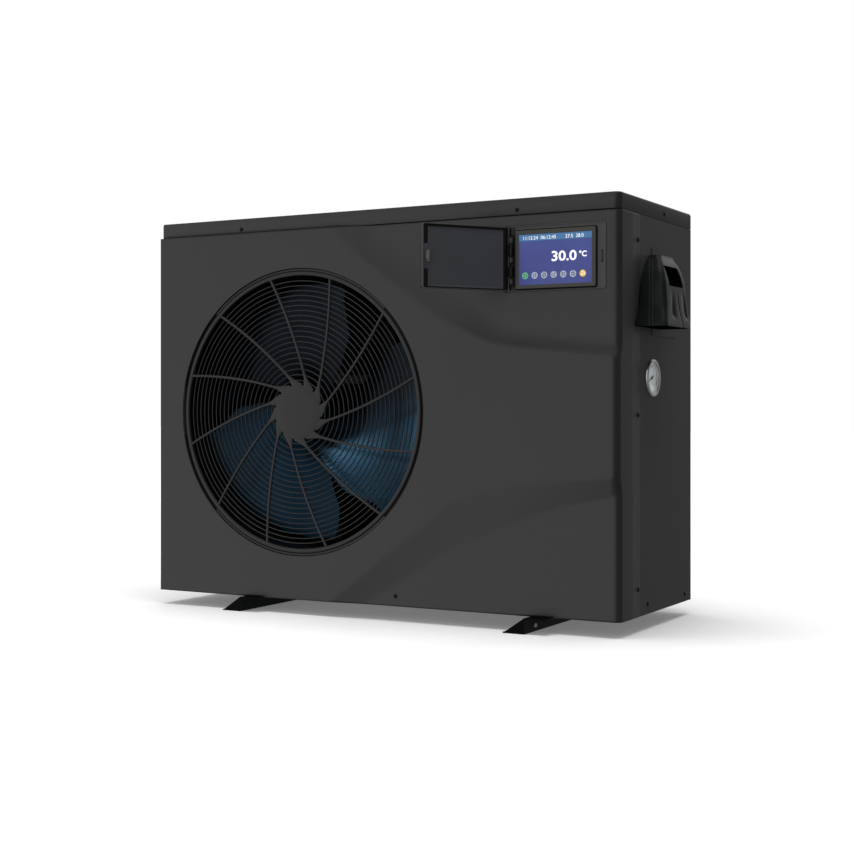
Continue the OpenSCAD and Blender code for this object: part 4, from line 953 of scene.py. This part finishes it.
def door_shell():
    """Outer skin, rim, the deep groove that runs round the lining, and the hinge barrels."""
    rim_out, rim_in = (1.8, 1.2, 4.8, 1.2), (2.2, 1.6, 5.2, 1.6)
    soup = Soup()
    soup.rings([door_plan(inset, v) for inset, v in
                ((2.0, -8.0), (0.5, -7.6), (0, -6.8), (0, -4.3), (0.35, -3.8), (0.8, -3.7), (rim_out, -3.7),
                 (rim_in, -4.1), (rim_in, -7.1), ((6, 5, 8, 5), -7.2))])
    for z_lo, z_hi in ((629, 646), (665, 686)):
        half = (z_hi - z_lo) / 2
        middle = (z_lo + half) * MM - HINGE.z
        barrel = [(1.7, -half), (2.7, -half), (3, 0.4 - half), (3, half - 0.4), (2.7, half), (1.7, half)]
        soup.lathe(barrel, (0, 0, middle), axis="z", segs=28, closed=True)
        soup.box((2.4 * MM, -7 * MM, middle - half * MM), (4.4 * MM, 0.8 * MM, middle + half * MM))
    ob = door_piece(soup, "door_shell", DOOR, sharp=40)
    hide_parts("display_door")


def door():
    door_shell()
    soup = Soup()
    rim_out, rim_in = (0.9, 0.5, 0.5, 0.5), (1.7, 1.1, 4.7, 1.1)
    soup.rings([door_plan(rim_out, -3.72), door_plan(rim_out, -3.6), door_plan(rim_in, -3.6),
                door_plan(rim_in, -3.72)], closed_path=True)
    door_piece(soup, "door_rim", DOOR_HIGHLIGHT, sharp=40)
    crown = [(0, -7.3), (0, -6.4), (0.4, -5.9), (1.0, -5.7), (2.4, -5.7), (3.4, -6.0), (8, -6.05)]
    soup = Soup()
    soup.rings([door_plan((d + 10, d * 0.5 + 3.2, d + 14.8, d * 0.6 + 5.6), v) for d, v in crown])
    door_piece(soup, "door_lining_painted_light", DOOR_LINING_LIT, sharp=50)
    soup = Soup()
    soup.box((161.5 * MM, -7.1 * MM, CATCH_Z - 22 * MM), (169.5 * MM, -5.4 * MM, CATCH_Z + 22 * MM))
    bevel(door_piece(soup, "catch_bracket", DOOR_LINING_LIT), 0.8 * MM)
    tip = Y_SUNK + 0.4 * MM - HINGE.y
    soup = Soup()
    soup.box((163.5 * MM, -5.8 * MM, CATCH_Z - 10 * MM), (165.2 * MM, tip, CATCH_Z + 10 * MM))
    soup.box((165.2 * MM, -5.5 * MM, CATCH_Z - 5.5 * MM), (166.6 * MM, tip - 0.2 * MM, CATCH_Z + 8.5 * MM))
    ob = bevel(door_piece(soup, "door_catch", DOOR_HIGHLIGHT), 0.4 * MM)
    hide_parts("door_latch")


# ---------- right-hand fittings ----------

# height, near edge, far edge and reach of the hood at each of its levels
HOOD_LEVELS = [(539, -114, 22, 58), (556, -104, 23, 53.5), (574, -93, 25, 49.5), (600, -88, 27, 46),
               (621, -84, 29, 43), (641, -74, 30, 36.5), (657, -58, 30, 28), (669, -42, 26.5, 18.5)]
HOOD_LOW, HOOD_TOP = HOOD_LEVELS[0][0], HOOD_LEVELS[-1][0]
HOOD_X = X_RIGHT + 1.5 * MM
# how far out from the wall the first parting line runs, by height
PARTING = [(540, 26.8), (560, 21.4), (580, 18.6), (600, 16.7), (632, 13.8), (655, 6.7), (663, 2.9)]


def clamp(t):
    return max(0.0, min(1.0, t))


def hood_level(z):
    """The hood's near edge, far edge and reach at a height, eased between its levels."""
    def eased(k):
        line = [(level[0], level[k]) for level in HOOD_LEVELS]
        return sum(on_line(line, min(max(z + 2.2 * i, HOOD_LOW), HOOD_TOP)) for i in range(-3, 4)) / 7
    return eased(1), eased(2), eased(3)


def hood_ring(z, inset=0.0):
    """One level of the hood: out from the wall, round the outer corners and back."""
    near, far, reach = hood_level(z)
    near, far, reach = near + inset, far - inset, reach - inset
    r = min(9.0, reach * 0.4)
    points = [(0, near), (reach * 0.3, near), *arc(reach - r, near + r, r, -90, 0, 7)]
    points += [(reach, near + r + (far - near - 2 * r) * k / 60) for k in range(1, 60)]
    points += [*arc(reach - r, far - r, r, 0, 90, 7), (reach * 0.3, far), (0, far)]
    flutes = (-50 - (600 - z) * 0.2, 4 + (600 - z) * 0.1)
    flute_depth = 3.2 * clamp((606 - z) / 44) * clamp((z - 553) / 7)
    groove_depth = 0.8 * clamp((606 - z) / 14)
    ring = []
    for u, v in points:
        hollow = flute_depth * sum(math.exp(-((v - centre) / 8) ** 2) for centre in flutes)
        hollow += groove_depth * math.exp(-((v + 26) / 2.6) ** 2)
        u -= hollow * clamp((u - reach + 6) / 6)
        ring.append(Vector((HOOD_X + u * MM, v * MM, z * MM)))
    return ring


def cut_window(ob):
    """Cuts the window through the hood's face and keeps the result as the piece's mesh."""
    cutter = Soup()
    outline = rounded_outline(-61, 612, 11, 648.5, 2.5)
    cutter.rings([[Vector((HOOD_X + u * MM, y * MM, z * MM)) for y, z in outline] for u in (18, 78)])
    cut = cutter.object("window_cut", HOOD)
    mod = ob.modifiers.new("window", "BOOLEAN")
    mod.operation = "DIFFERENCE"
    mod.solver = "EXACT"
    mod.object = cut
    bpy.context.view_layer.update()
    ob.data = bpy.data.meshes.new_from_object(ob.evaluated_get(bpy.context.evaluated_depsgraph_get()))
    ob.modifiers.clear()
    bpy.data.objects.remove(cut)
    finish_mesh(ob.data, 45)


def hood():
    wall = 2.6
    heights = [HOOD_LOW + 2.5 * k for k in range(53)]
    outer = [hood_ring(z) for z in heights]
    inner = [hood_ring(z if z == HOOD_LOW else z - 1.6, inset=wall) for z in heights]
    soup = Soup()
    soup.rings(list(reversed(inner)) + outer)
    ob = soup.object("hood_shell", HOOD, slot="hood_plastic", sharp=60)
    cut_window(ob)
    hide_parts("cable_hood")
    # two thin parting lines down the near side, and two strips at the cover's edge behind the hood, coloured
    # lighter than the hood as painted highlight
    section = [(-0.5, 0.3), (-0.3, -0.3), (0.3, -0.3), (0.5, 0.3)]
    for n, shift in enumerate((0, 6)):
        rings = []
        for k in range(41):
            z = 540 + 122 * k / 40
            near, u = hood_level(z)[0], on_line(PARTING, z) + shift
            rings.append([Vector((HOOD_X + (u + du) * MM, (near + dy) * MM, z * MM)) for du, dy in section])
        soup = Soup()
        soup.rings(rings)
        soup.object("parting_line_%d" % n, HOOD_LINE_HIGHLIGHT, slot="hood_plastic", sharp=40)
    edges = [((X_RIGHT + 0.1 * MM, -27.3 * MM, z_lo * MM), (X_RIGHT + 1.6 * MM, -25.6 * MM, z_hi * MM))
             for z_lo, z_hi in ((528, 538), (668, 684))]
    boxed("cover_edge", HOOD_LINE_HIGHLIGHT, edges, 0.15 * MM, slot="cover_paint")
    # a black sheet seen through the window: painted shade for the dark inside of the hood
    lining = ((HOOD_X + 0.3 * MM, -64 * MM, 608 * MM), (HOOD_X + 1.2 * MM, 14 * MM, 653 * MM))
    boxed("hood_inner_shade", SHADE_BLACK, [lining], 0.3 * MM, slot="hood_plastic")


def gauge_ticks(face):
    """The dial's marks, a long one at every ninth."""
    soup = Soup()
    for k in range(55):
        a = math.radians(-45 + 270 * k / 54)
        inner, outer, half = (17, 23, 0.55) if k % 9 == 0 else (20, 23, 0.25)
        out = Vector((0, math.cos(a), math.sin(a))) * MM
        side = Vector((0, -math.sin(a), math.cos(a))) * half * MM
        quad = [face + out * inner - side, face + out * outer - side, face + out * outer + side,
                face + out * inner + side]
        soup.rings([quad, [q + Vector((0.08 * MM, 0, 0)) for q in quad]])
    soup.object("gauge_ticks", INK, slot="dial_white")


def gauge():
    centre = Vector((X_RIGHT, GAUGE.y, GAUGE.z))
    bezel = [(26.5, -1.5), (26.5, 0.6), (27.2, 2.2), (28.6, 3.4), (30.6, 4.0), (32.6, 3.5), (33.8, 2.0),
             (34, 0), (30, 0)]
    ob = turned("gauge_ring", CHROME, bezel, centre, slot="chrome", sharp=60)
    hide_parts("gauge_bezel")
    dial = [(1.2, -3.6), (27.5, -3.6), (27.5, -3.2), (26.8, -3.0), (1.2, -3.0)]
    ob = turned("gauge_face", DIAL_GLOW, dial, centre, segs=72, slot="dial_white")
    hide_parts("gauge_dial")
    gauge_ticks(centre + Vector((-2.95 * MM, 0, 0)))
    dome = [(0.1, 2.9), (10, 2.8), (19, 2.4), (25, 1.8), (27, 1.4), (27, 0.8), (25, 1.1), (19, 1.7),
            (10, 2.1), (0.1, 2.2)]
    ob = turned("gauge_window", LENS, dome, centre, segs=64, slot="gauge_lens", sharp=60)
    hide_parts("gauge_glass")


def rail_bolt():
    """The bolt head on the web of the right-hand rail, near white as a painted glint."""
    head = [(0.3, 2.6), (3.4, 2.6), (4.2, 1.8), (4.4, 0), (0.3, 0)]
    turned("rail_bolt", BOLT_GLINT, head, (RAIL_WEB, -161 * MM, 11 * MM), segs=6, closed=False, slot="zinc_steel",
           sharp=30)


# ---------- carried-over CAD nodes ----------

def dress_nodes():
    slots = {p["node"]: p["material_slot"] for p in frame["record"]["subparts"]}
    for name, ob in frame["nodes"].items():
        mat = PAINTS[slots[name]]
        if name in ("right_side_panel", "left_guard", "service_cover"):
            mat = SIDE
        # the partition panel, galvanised, takes the black shroud plastic: painted shade for the dark inside
        # of the cabinet
        if name in ("fan_shroud", "partition_panel"):
            mat = SHROUD
        # the steel hinge pin takes the black screw paint: painted shade between the knuckles
        if name == "hinge_pin":
            mat = SCREW
        if not ob.data.materials:
            ob.data.materials.append(mat)
        for i in range(len(ob.material_slots)):
            ob.material_slots[i].material = mat
    for name in ("right_side_panel", "rear_panel", "left_guard", "rear_guard", "service_cover", "corner_post",
                 "left_foot", "right_foot", "base_tray", "union_sockets", "inlet_nut", "outlet_nut",
                 "cable_glands"):
        bevel(frame["nodes"][name], 0.4 * MM, 2, 40)


# ---------- stage, light and camera ----------

# how large the floor is, in how many cells, and how far below the feet
FLOOR_SIZE, FLOOR_CELLS, FLOOR_DROP = 40, 24, 0.2 * MM
# the floor's own light, near and far, and the distances between which it rises
FLOOR_GLOW, FAR_GLOW = 0.16, 0.75
GLOW_NEAR, GLOW_FAR = 1.0, 4.0
SKY_GAIN = 1.3
# height of the direction from -1 to 1, and how bright the sky is there
SKY = [(-1.0, 0.38), (-0.5, 0.64), (-0.15, 0.86), (0.12, 0.56), (0.32, 0.72), (0.6, 0.9), (0.78, 0.62),
       (0.94, 0.2)]
# the sky is dimmed towards this direction, down to this share of its light
DARK_SIDE, DARK_SHARE = (0.87, 0.09, -0.48), 0.2


def brighten_far(mat):
    """Raises the floor's own light by distance from the middle of the scene."""
    tree = mat.node_tree
    place = add_node(tree, "NewGeometry").outputs["Position"]
    away = add_node(tree, "VectorMath", {"operation": "LENGTH"}, Vector=place)
    ramp = add_node(tree, "MapRange", Value=away.outputs["Value"], From_Min=GLOW_NEAR, From_Max=GLOW_FAR,
                    To_Min=FLOOR_GLOW, To_Max=FAR_GLOW)
    feed(tree, tree.nodes["Principled BSDF"], Emission_Strength=ramp.outputs["Result"])


def stage():
    steps = [FLOOR_SIZE * (k / FLOOR_CELLS - 0.5) for k in range(FLOOR_CELLS + 1)]
    soup = Soup()
    soup.rings([[Vector((x, y, -FLOOR_DROP)) for y in steps] for x in steps], closed_ring=False, caps=False)
    me = bpy.data.meshes.new("floor")
    me.from_pydata([tuple(v) for v in soup.verts], [], soup.faces)
    paper = material("floor_paper", (0.96, 0.955, 0.96), 0.9, spec=0, mottle=0.01, height=0, glow=FLOOR_GLOW)
    brighten_far(paper)
    me.materials.append(paper)
    floor = bpy.data.objects.new("floor", me)
    floor.visible_glossy = False
    floor.visible_diffuse = False
    scene.collection.objects.link(floor)


def sky_by_height(tree, direction):
    """The brightness of the sky by the height of the direction."""
    height = add_node(tree, "SeparateXYZ", Vector=direction).outputs["Z"]
    place = add_node(tree, "MapRange", Value=height, From_Min=-1)
    sky = add_node(tree, "ValToRGB", Fac=place.outputs["Result"])
    elements = sky.color_ramp.elements
    for k, (z, bright) in enumerate(SKY):
        element = elements[k] if k < 2 else elements.new(0.5)
        element.position = (z + 1) / 2
        element.color = opaque([bright] * 3)
    return sky.outputs["Color"]


def share_by_side(tree, direction):
    """The share of the sky's light that is left towards and away from the dark side."""
    toward = add_node(tree, "VectorMath", {"operation": "DOT_PRODUCT"}, Vector=direction)
    toward.inputs[1].default_value = DARK_SIDE
    shade = add_node(tree, "MapRange", {"interpolation_type": "SMOOTHSTEP"}, Value=toward.outputs["Value"],
                     From_Min=-0.3, From_Max=0.45, To_Min=1.0, To_Max=DARK_SHARE)
    return shade.outputs["Result"]


def studio():
    """A white studio, brightest round the horizon and dark overhead and towards the right."""
    world = bpy.data.worlds.new("studio")
    world.use_nodes = True
    tree = world.node_tree
    direction = add_node(tree, "TexCoord").outputs["Generated"]
    glow = add_node(tree, "Math", {"operation": "MULTIPLY"}, Value=sky_by_height(tree, direction))
    tree.links.new(share_by_side(tree, direction), glow.inputs[1])
    gain = add_node(tree, "Math", {"operation": "MULTIPLY"}, Value=glow.outputs["Value"])
    gain.inputs[1].default_value = SKY_GAIN
    # the camera itself sees plain white
    seen = add_node(tree, "LightPath").outputs["Is Camera Ray"]
    pick = add_node(tree, "Mix", {"data_type": "FLOAT"}, Factor=seen, A=gain.outputs["Value"], B=1.0)
    feed(tree, tree.nodes["Background"], Strength=pick.outputs["Result"], Color=opaque((1, 1, 1)))
    scene.world = world
    scene.view_settings.view_transform = "Standard"
    scene.view_settings.look = "None"


def softbox(name, place, target, size, power, shiny=True):
    light = bpy.data.lights.new(name, "AREA")
    light.shape = "RECTANGLE"
    light.size, light.size_y = size
    light.energy = power
    ob = bpy.data.objects.new(name, light)
    ob.location = place
    ob.rotation_euler = (Vector(target) - Vector(place)).to_track_quat("-Z", "Y").to_euler()
    ob.visible_glossy = shiny
    scene.collection.objects.link(ob)
    return ob


def lights():
    softbox("top_box", (0.0, -0.2, 3.4), (0, 0, 0.4), (3.0, 2.4), 98, shiny=False)
    fan_box = softbox("fan_box", (-0.77, -2.2, 1.19), (-0.01, -0.12, 0.32), (0.5, 0.5), 14)
    lit = bpy.data.collections.new("lit_by_fan_box")
    lit.objects.link(bpy.data.objects["fan_wheel"])
    fan_box.light_linking.receiver_collection = lit


def camera():
    data = bpy.data.cameras.new("view")
    data.sensor_width = 36
    data.lens = 62.68
    data.shift_y = -0.0238
    data.clip_end = 100
    ob = bpy.data.objects.new("view", data)
    ob.location = (1.4396, -2.5605, 0.3984)
    ob.rotation_euler = (math.radians(90), 0, math.radians(29.03))
    scene.collection.objects.link(ob)
    scene.camera = ob


dress_nodes()
front_panel()
top_cover()
all_screws()
grille()
blades()
fins()
display()
door()
hood()
gauge()
rail_bolt()
stage()
studio()
lights()
camera()
